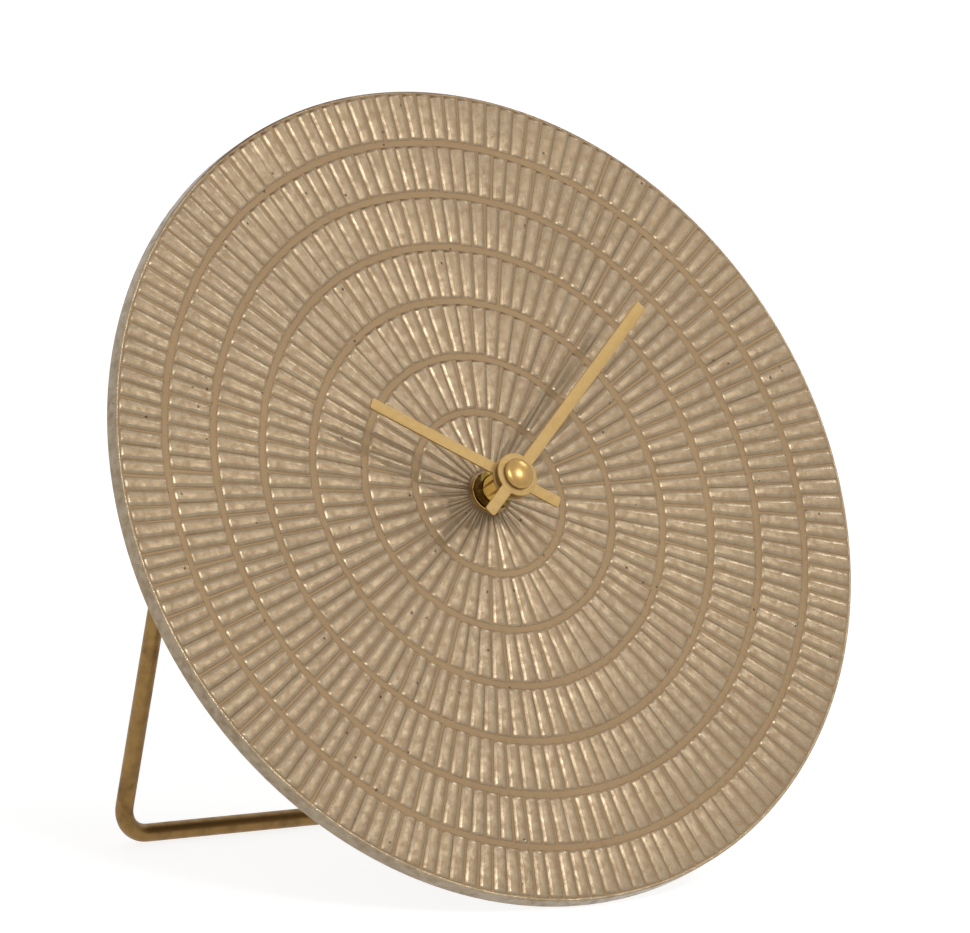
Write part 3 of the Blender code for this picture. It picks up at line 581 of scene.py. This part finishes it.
def makeDial():
    chosen = dialSettings
    wander = random.Random(chosen["seed"])
    bm = bmesh.new()
    for name in ("rub", "rise", "nook"):
        bm.verts.layers.float.new(name)
    floor = -chosen["relief"]
    half = chosen["endSpace"] / 2
    grooves = [share * chosen["radius"] for share in chosen["ringEdgeShares"]]
    starts = [chosen["hubSeat"]] + [groove + half for groove in grooves]
    ends = [groove - half for groove in grooves] + [chosen["radius"] - chosen["rimBorder"]]
    for start, end, count in zip(starts, ends, chosen["barsPerRing"]):
        castRing(bm, start, end, count, wander)
    borders = [vert for vert in bm.verts if vert.is_boundary]
    bmesh.ops.remove_doubles(bm, verts=borders, dist=mergeGap)
    wobble(bm)

    # The round edge, the flat land on the back, the recess inside it and the bore
    rim = chosen["radius"] - chosen["rimRound"]
    rounding = [(rim + chosen["rimRound"] * math.sin(angle),
                 floor - chosen["rimRound"] + chosen["rimRound"] * math.cos(angle))
                for angle in quarterSteps(chosen["roundSteps"])]
    back = -chosen["thickness"]
    recess = back + chosen["backRecess"]
    land = chosen["radius"] - chosen["backLand"]
    foot = land - chosen["backRecess"]
    soft = chosen["backRound"]
    wall = rounding + [(chosen["radius"], back + soft), (chosen["radius"] - soft, back),
                       (land + soft, back), (land, back + soft / 3), (foot, recess)]
    spinProfile(bm, wall, chosen["rimSteps"])
    spinProfile(bm, [(chosen["bore"], recess), (chosen["bore"], floor)], chosen["boreSteps"])

    # Flat faces close the grooves between the rings and the recess
    flats = [openLoop(bm, chosen["bore"], floor) + openLoop(bm, chosen["hubSeat"], floor)]
    for end, start in zip(ends, starts[1:] + [rim]):
        flats.append(openLoop(bm, end, floor) + openLoop(bm, start, floor))
    flats.append(openLoop(bm, chosen["bore"], recess) + openLoop(bm, foot, recess))
    for edges in flats:
        bmesh.ops.triangle_fill(bm, edges=edges, use_beauty=True)
    rubLayer = bm.verts.layers.float["rub"]
    riseLayer = bm.verts.layers.float["rise"]
    paintedShadeLayer = bm.verts.layers.float["nook"]
    # The rounded rim is drawn fully rubbed and raised, with painted shade along the disc's upper
    # part
    for vert in bm.verts:
        if vert.co.xy.length > rim - mergeGap:
            vert[rubLayer] = vert[riseLayer] = 1
            vert[paintedShadeLayer] = shadeAt(vert.co)
    tidyMesh(bm)
    openEdges = sum(edge.is_boundary for edge in bm.edges)
    print("dial:", len(bm.faces), "faces,", openEdges, "open edges")
    addPiece("castDial", bm, discPlace, castMetal, "clock_head", ["dial_disc"],
             chosen["sharpAngle"])


def wobble(bm):
    # A slow uneven shift of the raised surface, as hand-cut patterns have.
    chosen = dialSettings
    for vert in bm.verts:
        if not vert.is_boundary:
            shift = noise.noise_vector(vert.co * chosen["wobbleScale"])
            shift.z *= chosen["wobbleRise"]
            vert.co += shift * chosen["wobbleReach"] * (1 + vert.co.z / chosen["valleyDepth"])


makeDial()


# Hands, cap, nut, washer and bushing

handSettings = {
    "minute": {"length": 64.0 * mm, "height": 13.0 * mm, "angle": 50.4, "bore": 1.5 * mm},
    "hour": {"length": 41.6 * mm, "height": 10.7 * mm, "angle": 301.9, "bore": 2.6 * mm},
    "thickness": 0.6 * mm,
    "halfWidth": 1.5 * mm,
    "tail": 14.0 * mm,
    "hubRadius": 5.5 * mm,
    "edge": 0.1 * mm,
    "corner": 0.7 * mm,
    "cornerSteps": 6,
    "hubSteps": 96,
    "boreSteps": 48,
    "hardAngle": 60,
    "sharpAngle": 40,
}


def makeHand(which, body, node):
    chosen = handSettings[which]
    width, tail = handSettings["halfWidth"], handSettings["tail"]
    under = chosen["height"] - handSettings["thickness"] / 2
    bm = bmesh.new()
    bmesh.ops.create_circle(bm, cap_ends=False, segments=handSettings["hubSteps"],
                            radius=handSettings["hubRadius"])
    for vert in bm.verts:
        vert.co.z = under
    blade(bm, 1, chosen["length"], width)
    blade(bm, -1, tail, width)
    bmesh.ops.remove_doubles(bm, verts=bm.verts, dist=mergeGap)
    outline = list(bm.edges)
    bore = bmesh.ops.create_circle(bm, cap_ends=False, segments=handSettings["boreSteps"],
                                   radius=chosen["bore"])
    for vert in bore["verts"]:
        vert.co.z = under
    bmesh.ops.triangle_fill(bm, edges=outline + edgesAt(bore["verts"]), use_beauty=True)
    made = bmesh.ops.extrude_face_region(bm, geom=list(bm.faces))
    bmesh.ops.translate(bm, verts=vertsOf(made), vec=(0, 0, handSettings["thickness"]))
    tidyMesh(bm)
    hard = math.radians(handSettings["hardAngle"])
    sharp = [edge for edge in bm.edges if edge.calc_face_angle(0) > hard
             and abs(edge.verts[0].co.z - edge.verts[1].co.z) < mergeGap]
    bmesh.ops.bevel(bm, geom=sharp, offset=handSettings["edge"], segments=2, profile=0.5,
                    affect="EDGES", material=-1)
    bmesh.ops.recalc_face_normals(bm, faces=bm.faces)
    turn = Matrix.Rotation(-math.radians(chosen["angle"]), 4, "Z")
    addPiece(which + "Hand", bm, discPlace @ turn, handGold, body, [node],
             handSettings["sharpAngle"])


def blade(bm, side, reach, width):
    # Opens the hub's circle at the top or bottom and draws a straight blade out of it.
    radius = handSettings["hubRadius"]
    root = math.sqrt(radius ** 2 - width ** 2)

    # The circle's points over the blade's root go, with a little room at each side of it
    gone = [vert for vert in bm.verts if abs(vert.co.x) < width * 1.02 and vert.co.y * side > 0
            and vert.co.xy.length > 0.9 * radius]
    height = gone[0].co.z
    bmesh.ops.delete(bm, geom=gone, context="VERTS")
    loose = [vert for vert in bm.verts if len(vert.link_edges) == 1]
    loose.sort(key=lambda vert: vert.co.x)
    corner = handSettings["corner"]
    right = [(width - corner + corner * math.cos(turn), reach - corner + corner * math.sin(turn))
             for turn in quarterSteps(handSettings["cornerSteps"])]
    path = [(-width, root)] + [(-x, y) for x, y in right] + right[::-1] + [(width, root)]
    points = [bm.verts.new((x, y * side, height)) for x, y in path]
    for pair in zip([loose[0]] + points, points + [loose[-1]]):
        bm.edges.new(pair)


makeHand("minute", "minute_group", "minute_hand")
makeHand("hour", "hour_group", "hour_hand")

frontSettings = {
    "capRadius": 3.9 * mm,
    "capLow": 13.6 * mm,
    "capTop": 15.0 * mm,
    "capEdge": 0.4 * mm,
    "capBore": 1.5 * mm,
    "capBoreTop": 14.5 * mm,
    "capSoft": 0.12 * mm,
    "capSteps": 14,
    "capSides": 64,
    "washerRadius": 4.9 * mm,
    "washerLow": -0.3 * mm,
    "washerTop": 0.2 * mm,
    "washerSoft": 0.15 * mm,
    "washerSides": 72,
    "clearBore": 3.75 * mm,
    "boreSides": 48,
    "nutAcross": 8.8 * mm,
    "nutLow": 0.5 * mm,
    "nutTop": 2.7 * mm,
    "nutChamfer": 0.4 * mm,
    "nutSideCuts": 7,
    "nutWallCuts": 6,
    "bushRadius": 3.45 * mm,
    "bushBore": 2.6 * mm,
    "bushLow": -5.3 * mm,
    "bushTop": 8.5 * mm,
    "threadPitch": 0.75 * mm,
    "threadDepth": 0.32 * mm,
    "threadSteps": 32,
}


def makeCap():
    chosen = frontSettings
    rise = chosen["capTop"] - chosen["capLow"] - chosen["capEdge"]
    dome = [(chosen["capRadius"] * math.sin(angle),
             chosen["capLow"] + chosen["capEdge"] + rise * math.cos(angle))
            for angle in quarterSteps(chosen["capSteps"])]
    soft = chosen["capSoft"]
    profile = dome + [(chosen["capRadius"], chosen["capLow"] + soft),
                      (chosen["capRadius"] - soft, chosen["capLow"]),
                      (chosen["capBore"], chosen["capLow"]),
                      (chosen["capBore"], chosen["capBoreTop"]), (0, chosen["capBoreTop"])]
    bm = bmesh.new()
    spinProfile(bm, profile, chosen["capSides"])
    tidyMesh(bm)
    addPiece("handCap", bm, discPlace, capBrass, "minute_group", ["hand_cap"])


def makeWasher():
    chosen = frontSettings
    soft = chosen["washerSoft"]
    profile = [(chosen["clearBore"], chosen["washerTop"]),
               (chosen["washerRadius"] - soft, chosen["washerTop"]),
               (chosen["washerRadius"], chosen["washerTop"] - soft),
               (chosen["washerRadius"], chosen["washerLow"]),
               (chosen["clearBore"], chosen["washerLow"])]
    addPiece("dialWasher", turnedRing(profile, chosen["washerSides"]), discPlace, brightBrass,
             "clock_head", ["dial_washer"])


def makeNut():
    # A hexagonal prism drawn from a circle of six, its top corners cut back by a bevel of the rim.
    chosen = frontSettings
    bm = bmesh.new()
    corner = chosen["nutAcross"] / math.sqrt(3)
    bmesh.ops.create_circle(bm, cap_ends=False, segments=6, radius=corner)
    cornerUp = Matrix.Rotation(quarterTurn, 3, "Z")
    bmesh.ops.rotate(bm, verts=bm.verts, cent=(0, 0, 0), matrix=cornerUp)
    bmesh.ops.subdivide_edges(bm, edges=list(bm.edges), cuts=chosen["nutSideCuts"],
                              use_grid_fill=False)
    outer = list(bm.edges)
    bore = bmesh.ops.create_circle(bm, cap_ends=False, segments=chosen["boreSides"],
                                   radius=chosen["clearBore"])
    bmesh.ops.bridge_loops(bm, edges=outer + edgesAt(bore["verts"]))
    for vert in bm.verts:
        vert.co.z = chosen["nutLow"]
    made = bmesh.ops.extrude_face_region(bm, geom=list(bm.faces))
    for vert in vertsOf(made):
        vert.co.z = chosen["nutTop"]
    walls = [edge for edge in bm.edges if abs(edge.verts[0].co.z - edge.verts[1].co.z) > mergeGap
             and edge.verts[0].co.xy.length > chosen["clearBore"] + mergeGap]
    bmesh.ops.subdivide_edges(bm, edges=walls, cuts=chosen["nutWallCuts"])
    flat = chosen["nutAcross"] / 2
    slope = chosen["nutChamfer"] / (corner - flat)
    for vert in bm.verts:
        radius = vert.co.xy.length
        if radius > flat:
            limit = chosen["nutTop"] - (radius - flat) * slope
            vert.co.z = min(vert.co.z, limit)
    tidyMesh(bm)
    addPiece("dialNut", bm, discPlace, nutBrass, "clock_head", ["dial_nut"], 25)


def makeBushing():
    # The thread is one pitch of profile, screwed upwards round the axis, then cut off flat.
    chosen = frontSettings
    steps = chosen["threadSteps"]
    pitch, crest = chosen["threadPitch"], chosen["bushRadius"]
    root = crest - chosen["threadDepth"]
    turns = math.ceil((chosen["bushTop"] - chosen["bushLow"]) / pitch) + 2
    start = chosen["bushLow"] - pitch
    bm = bmesh.new()
    # The radius, then the share of the pitch
    shares = ((root, 0.0), (crest, 0.4), (crest, 0.55), (root, 0.95), (root, 1.0))
    points = [bm.verts.new((radius, 0, start + share * pitch)) for radius, share in shares]
    edges = [bm.edges.new(pair) for pair in zip(points, points[1:])]
    bmesh.ops.spin(bm, geom=points + edges, cent=(0, 0, 0), axis=(0, 0, 1),
                   dvec=(0, 0, pitch / steps), angle=math.tau * turns, steps=steps * turns)
    bmesh.ops.remove_doubles(bm, verts=bm.verts, dist=mergeGap)
    for height, side in ((chosen["bushTop"], 1), (chosen["bushLow"], -1)):
        bmesh.ops.bisect_plane(bm, geom=allOf(bm), plane_co=(0, 0, height),
                               plane_no=(0, 0, side), clear_outer=True)
    bore = chosen["bushBore"]
    spinProfile(bm, [(bore, chosen["bushLow"]), (bore, chosen["bushTop"])], chosen["boreSides"])
    for height in (chosen["bushLow"], chosen["bushTop"]):
        rims = [edge for edge in bm.edges if edge.is_boundary
                and all(abs(vert.co.z - height) < mergeGap for vert in edge.verts)]
        bmesh.ops.triangle_fill(bm, edges=rims, use_beauty=True)
    tidyMesh(bm)
    addPiece("threadedBushing", bm, discPlace, brightBrass, "clock_head",
             ["threaded_bushing"], 30)


makeCap()
makeWasher()
makeNut()
makeBushing()
print("hands and hub made")


# The stand, one bent rod

standSettings = {
    "halfWidth": 73.0 * mm,
    "toeX": 51.0 * mm,
    "footBend": 8.0 * mm,
    "pinBend": 5.0 * mm,
    "sides": 28,
    "bendSteps": 16,
    "barParts": 6,              # from the middle of the ground bar to its bend
    "legParts": 8,
    "toeParts": 2,
    "endRound": 0.3 * mm,
    "toeReach": 2.5 * mm,       # the solid's toes lie this near to toeX
    "sharpAngle": 50,
}


def makeStand():
    # Half of the rod grows from the middle of the ground bar to the toe, then it is mirrored.
    chosen = standSettings
    toeX = chosen["toeX"]
    legLength = (pivot - barCentre).length
    bm = bmesh.new()
    bmesh.ops.create_circle(bm, cap_ends=False, segments=chosen["sides"], radius=rodRadius)
    facingX = Matrix.Rotation(quarterTurn, 3, "Y")
    bmesh.ops.rotate(bm, verts=bm.verts, cent=(0, 0, 0), matrix=facingX)
    bmesh.ops.translate(bm, verts=bm.verts, vec=(0, -legLength, 0))
    ring = list(bm.edges)
    bendX = chosen["halfWidth"] - chosen["footBend"]
    ring = runStraight(bm, ring, Vector((bendX, 0, 0)), chosen["barParts"])
    ring = runBend(bm, ring, (bendX, chosen["footBend"] - legLength, 0), quarterTurn)
    rise = legLength - chosen["footBend"] - chosen["pinBend"]
    ring = runStraight(bm, ring, Vector((0, rise, 0)), chosen["legParts"])
    ring = runBend(bm, ring, (chosen["halfWidth"] - chosen["pinBend"], -chosen["pinBend"], 0),
                   quarterTurn)
    inward = chosen["halfWidth"] - 2 * chosen["pinBend"] - toeX
    ring = runStraight(bm, ring, Vector((-inward, 0, 0)), chosen["toeParts"])
    ring = runBend(bm, ring, (toeX + chosen["pinBend"], chosen["pinBend"], 0), -quarterTurn)
    toeLength = rodToeTop() - chosen["pinBend"] - chosen["endRound"]
    ring = runStraight(bm, ring, Vector((0, toeLength, 0)), chosen["toeParts"])
    lid = bmesh.ops.contextual_create(bm, geom=ring)["faces"]
    bmesh.ops.inset_region(bm, faces=lid, thickness=chosen["endRound"], depth=0.0,
                           use_even_offset=True)
    bmesh.ops.translate(bm, verts=lid[0].verts, vec=(0, chosen["endRound"], 0))
    bmesh.ops.mirror(bm, geom=allOf(bm), matrix=Matrix.Identity(4), merge_dist=mergeGap, axis="X")
    tidyMesh(bm)
    addPiece("standRod", bm, standPlace, agedBrass, "stand", ["stand_rod"],
             chosen["sharpAngle"])


def rodToeTop():
    # The toes end as high along the stand as the solid rod's toes do.
    highest = max((vert.co for vert in frame["nodes"]["stand_rod"].data.vertices
                   if abs(abs(vert.co.x) - standSettings["toeX"]) < standSettings["toeReach"]),
                  key=lambda co: (co - pivot).dot(legUp))
    return (standPlace.inverted() @ highest).y


def nextRing(bm, ring):
    # A new band grows from a ring of edges; its far points and far edges are given back.
    made = bmesh.ops.extrude_edge_only(bm, edges=ring)
    verts = vertsOf(made)
    far = [item for item in made["geom"] if isinstance(item, bmesh.types.BMEdge)
           and all(vert in verts for vert in item.verts)]
    return verts, far


def runStraight(bm, ring, way, parts):
    for part in range(parts):
        verts, ring = nextRing(bm, ring)
        bmesh.ops.translate(bm, verts=verts, vec=way / parts)
    return ring


def runBend(bm, ring, centre, angle):
    turn = Matrix.Rotation(angle / standSettings["bendSteps"], 3, "Z")
    for part in range(standSettings["bendSteps"]):
        verts, ring = nextRing(bm, ring)
        bmesh.ops.rotate(bm, verts=verts, cent=centre, matrix=turn)
    return ring


makeStand()
print("stand made")


# Behind the disc: screws, battery and softened copies of the moulded and folded pieces

screwSettings = {
    "spots": {"left_lower": (-62.0 * mm, 22.3 * mm), "left_upper": (-62.0 * mm, 37.9 * mm),
              "right_lower": (62.0 * mm, 22.3 * mm), "right_upper": (62.0 * mm, 37.9 * mm)},
    "turns": {"left_lower": 20, "left_upper": 75, "right_lower": -35, "right_upper": 8},
    "seat": -6.52 * mm,         # back face of the bracket's foot
    "headRadius": 2.7 * mm,
    "headHeight": 1.6 * mm,
    "headEdge": 0.45 * mm,
    "headSoft": 0.1 * mm,
    "headSteps": 8,
    "sides": 40,
    "shankRadius": 1.5 * mm,
    "shankDepth": 4.2 * mm,
    "slotHalf": 0.35 * mm,
    "slotFloor": 0.75 * mm,
    "sharpAngle": 30,
}


def makeScrew(which):
    # A slotted pan head, turned upright, then laid on the bracket's foot with its slot at an angle.
    chosen = screwSettings
    rise, soft = chosen["headHeight"] - chosen["headEdge"], chosen["headSoft"]
    profile = [(chosen["headRadius"] * math.sin(angle), chosen["headEdge"] + rise * math.cos(angle))
               for angle in quarterSteps(chosen["headSteps"])]
    profile += [(chosen["headRadius"], soft), (chosen["headRadius"] - soft, 0),
                (chosen["shankRadius"], 0), (chosen["shankRadius"], -chosen["shankDepth"]),
                (0, -chosen["shankDepth"])]
    bm = bmesh.new()
    spinProfile(bm, profile, chosen["sides"])
    tidyMesh(bm)
    cutSlot(bm, chosen["slotHalf"], chosen["slotFloor"])
    x, y = chosen["spots"][which]
    turn = Matrix.Rotation(math.radians(chosen["turns"][which]), 4, "Z")
    backward = Matrix.Rotation(math.pi, 4, "X")
    bm.transform(Matrix.Translation((x, y, chosen["seat"])) @ backward @ turn)
    tidyMesh(bm)
    addPiece("bracketScrew_" + which, bm, discPlace, plainSteel, "clock_head",
             ["bracket_screw_" + which], chosen["sharpAngle"])


def cutSlot(bm, half, floor):
    # Cuts mark the slot's sides and floor, then the strip between them is sunk to the floor.
    cuts = (((-half, 0, 0), (1, 0, 0)), ((half, 0, 0), (1, 0, 0)), ((0, 0, floor), (0, 0, 1)))
    for spot, way in cuts:
        bmesh.ops.bisect_plane(bm, geom=allOf(bm), plane_co=spot, plane_no=way)
    strip = [face for face in bm.faces if abs(face.calc_center_median().x) < half
             and face.calc_center_median().z > floor]
    made = bmesh.ops.extrude_face_region(bm, geom=strip)
    left = [face for face in strip if face.is_valid]
    if left:
        bmesh.ops.delete(bm, geom=left, context="FACES_ONLY")
    for vert in vertsOf(made):
        vert.co.z = min(vert.co.z, floor)
    bmesh.ops.remove_doubles(bm, verts=bm.verts, dist=mergeGap)


batterySettings = {
    "middle": (-0.1 * mm, -19.4 * mm, -14.2 * mm),
    "radius": 7.1 * mm,
    "halfLength": 24.6 * mm,
    "nubRadius": 2.7 * mm,
    "nubTop": 25.8 * mm,
    "nubRound": 0.25 * mm,
    "nubFlare": 0.05 * mm,
    "endDip": 0.2 * mm,         # the metal ends lie this far below the sleeve's folded rim
    "rimInner": 1.1 * mm,       # from the battery's side to the rim's inner foot
    "rimFlat": 0.9 * mm,
    "rimRound": 0.35 * mm,
    "rimDepth": 1.2 * mm,
    "padFoot": 1.6 * mm,        # past the nub's radius, the pad on the flat end
    "padFlat": 1.3 * mm,
    "sides": 56,
    "sharpAngle": 40,
}


def makeBattery():
    # Both ends have the same rim; one end has the nub inside it, the other a low pad.
    chosen = batterySettings
    full, half = chosen["radius"], chosen["halfLength"]
    nub, top = chosen["nubRadius"], chosen["nubTop"]
    dip, soft, crown = half - chosen["endDip"], chosen["rimRound"], chosen["nubRound"]
    rim = [(full - chosen["rimInner"], dip), (full - chosen["rimFlat"], half),
           (full - soft, half), (full, half - soft), (full, half - chosen["rimDepth"])]
    profile = [(0, top), (nub - crown, top), (nub, top - crown), (nub + chosen["nubFlare"], dip)]
    profile += rim + [(full, 0)] + [(radius, -height) for radius, height in reversed(rim)]
    profile += [(nub + chosen["padFoot"], -dip), (nub + chosen["padFlat"], -half), (0, -half)]
    bm = bmesh.new()
    spinProfile(bm, profile, chosen["sides"])
    tidyMesh(bm)
    turn = Matrix.Rotation(quarterTurn, 4, "Y")
    place = discPlace @ Matrix.Translation(chosen["middle"]) @ turn
    addPiece("wrappedBattery", bm, place, makeBatteryWrap(place), "clock_head",
             ["battery"], chosen["sharpAngle"])


# For each solid: how far its edges are rounded, its finish, slot and body, and the angle from
# which its edges are drawn sharp
softCopies = {
    "hinge_bracket_left": (0.3 * mm, agedBrass, "aged_brass", "clock_head", 30),
    "hinge_bracket_right": (0.3 * mm, agedBrass, "aged_brass", "clock_head", 30),
    "movement_case": (0.3 * mm, blackPlastic, "black_plastic", "clock_head", 12),
    "movement_cover": (0.2 * mm, blackPlastic, "black_plastic", "clock_head", 12),
    "rubber_washer": (0.25 * mm, blackRubber, "rubber", "clock_head", 30),
    "setting_knob": (0.3 * mm, whitePlastic, "white_plastic", "minute_group", 30),
}
softSettings = {"flatAngle": 1, "hardAngle": 35, "segments": 3}


def makeSoftCopy(nodeName):
    # The solid's own mesh, merged, with its hard edges rounded.
    width, material, slotName, body, sharpAngle = softCopies[nodeName]
    bm = bmesh.new()
    bm.from_mesh(frame["nodes"][nodeName].data)
    bmesh.ops.remove_doubles(bm, verts=bm.verts, dist=mergeGap)
    bmesh.ops.dissolve_limit(bm, angle_limit=math.radians(softSettings["flatAngle"]),
                             verts=list(bm.verts), edges=list(bm.edges))
    hardAngle = math.radians(softSettings["hardAngle"])
    hard = [edge for edge in bm.edges if edge.is_manifold and edge.calc_face_angle() > hardAngle]
    bmesh.ops.bevel(bm, geom=hard, affect="EDGES", offset=width, profile=0.5, material=-1,
                    segments=softSettings["segments"], clamp_overlap=True)
    name = "soft" + "".join(word.capitalize() for word in nodeName.split("_"))
    openEdges = sum(not edge.is_manifold for edge in bm.edges)
    print(name + ":", len(bm.faces), "faces,", openEdges, "open edges")
    addPiece(name, bm, Matrix.Identity(4), material, body, [nodeName], sharpAngle)


coverRing = {
    "inner": 7.0 * mm,
    "outer": 8.0 * mm,
    "draft": 0.1 * mm,
    "back": -21.3 * mm,         # the cover's back face
    "sunk": 0.2 * mm,
    "rise": 0.3 * mm,
    "sides": 72,
}


def makeCoverRing():
    # A low moulded ring round the setting knob, on the cover's back.
    chosen = coverRing
    foot, top = chosen["back"] + chosen["sunk"], chosen["back"] - chosen["rise"]
    profile = [(chosen["inner"], foot), (chosen["inner"] + chosen["draft"], top),
               (chosen["outer"] - chosen["draft"], top), (chosen["outer"], foot)]
    addPiece("coverRing", turnedRing(profile, chosen["sides"]), discPlace, blackPlastic,
             "clock_head", ["movement_cover"])


for which in screwSettings["spots"]:
    makeScrew(which)
makeBattery()
for nodeName in softCopies:
    makeSoftCopy(nodeName)
makeCoverRing()
print("back pieces made")


# Every solid whose shape stays gets its finish

keptFinishes = {
    "positive_contact": plainSteel, "negative_contact": plainSteel,
    "circuit_board": greenBoard, "quartz_crystal": plainSteel, "coil": copperWire,
    "stator": plainSteel, "rotor": plainSteel, "transfer_wheel": whitePlastic,
    "second_wheel": whitePlastic, "third_wheel": whitePlastic, "centre_wheel": whitePlastic,
    "minute_arbor": plainSteel, "minute_wheel": whitePlastic, "hour_wheel": whitePlastic,
}
for nodeName, finish in keptFinishes.items():
    node = frame["nodes"][nodeName]
    for socket in node.material_slots:
        socket.material = finish
print("finishes given to", len(keptFinishes), "solids")


# Floor, world, lamps and camera

stageSettings = {
    "floorSize": 6.0,
    "floorGlow": 0.82,
    "floorColour": 0.5,
    "floorRoughness": 0.9,
    "worldStrength": 0.31,      # of the light it gives; the camera sees it plain white
}


def seenShare(tree):
    # 1 for a ray that the camera sees by, straight or in a reflection, and 0 for lighting.
    path = addNode(tree, "LightPath")
    seen = mathOf(tree, "MAXIMUM", path.outputs["Is Camera Ray"], path.outputs["Is Glossy Ray"])
    return mathOf(tree, "MAXIMUM", seen, path.outputs["Is Transmission Ray"])


def makeFloor():
    bm = bmesh.new()
    bmesh.ops.create_grid(bm, x_segments=2, y_segments=2, size=stageSettings["floorSize"] / 2)
    mesh = bpy.data.meshes.new("floor")
    bm.to_mesh(mesh)
    bm.free()
    material, tree, shader = newMaterial("paleFloor")
    shader.inputs["Base Color"].default_value = (*[stageSettings["floorColour"]] * 3, 1)
    shader.inputs["Roughness"].default_value = stageSettings["floorRoughness"]
    shader.inputs["Emission Color"].default_value = (1, 1, 1, 1)
    glow = mathOf(tree, "MULTIPLY", seenShare(tree), stageSettings["floorGlow"])
    tree.links.new(glow, shader.inputs["Emission Strength"])
    mesh.materials.append(material)
    floor = bpy.data.objects.new("floor", mesh)
    bpy.context.scene.collection.objects.link(floor)


def makeWorld():
    world = bpy.data.worlds.new("paleStudio")
    world.use_nodes = True
    tree = world.node_tree
    background = tree.nodes["Background"]
    background.inputs["Color"].default_value = (1, 1, 1, 1)
    strength = spread(tree, seenShare(tree), 0.0, 1.0, stageSettings["worldStrength"], 1.0)
    tree.links.new(strength, background.inputs["Strength"])
    bpy.context.scene.world = world


lampSettings = {
    "key": {"way": (0.485, -0.62, 0.617), "distance": 1.1, "size": 0.04, "power": 1.35},
    "left": {"way": (-0.12, -0.72, 0.684), "distance": 2.0, "size": 0.6, "power": 9.2},
    "right": {"way": (0.713, -0.169, 0.68), "distance": 2.0, "size": 0.4, "power": 2.9},
}


def makeLamps():
    for name, chosen in lampSettings.items():
        data = bpy.data.lights.new(name, "AREA")
        data.shape = "DISK"
        data.size = chosen["size"]
        data.energy = chosen["power"]
        lamp = bpy.data.objects.new(name, data)
        way = Vector(chosen["way"]).normalized()
        lamp.location = hub + way * chosen["distance"]
        lamp.rotation_mode = "QUATERNION"
        lamp.rotation_quaternion = way.to_track_quat("Z", "Y")
        bpy.context.scene.collection.objects.link(lamp)


cameraSettings = {
    "toward": (-0.565, -0.800, 0.2025),
    "right": (0.822, -0.566, 0.058),
    "distance": 3.479,
    "lens": 528.0,
    "sensor": 36.0,
    "farEnd": 20.0,
    "slideRight": -1.1 * mm,
    "slideUp": 6.35 * mm,
}


def makeCamera():
    chosen = cameraSettings
    toward = Vector(chosen["toward"]).normalized()
    side = Vector(chosen["right"])
    side = (side - toward * side.dot(toward)).normalized()
    top = toward.cross(side)
    data = bpy.data.cameras.new("camera")
    data.lens = chosen["lens"]
    data.sensor_width = chosen["sensor"]
    data.clip_end = chosen["farEnd"]
    camera = bpy.data.objects.new("camera", data)
    turn = Matrix((side, top, toward)).transposed().to_4x4()
    spot = hub + toward * chosen["distance"] + side * chosen["slideRight"] + top * chosen["slideUp"]
    camera.matrix_world = Matrix.Translation(spot) @ turn
    bpy.context.scene.collection.objects.link(camera)
    bpy.context.scene.camera = camera


makeFloor()
makeWorld()
makeLamps()
makeCamera()
bpy.context.scene.view_settings.view_transform = "Standard"
print("stage made")

bpy.context.view_layer.update()
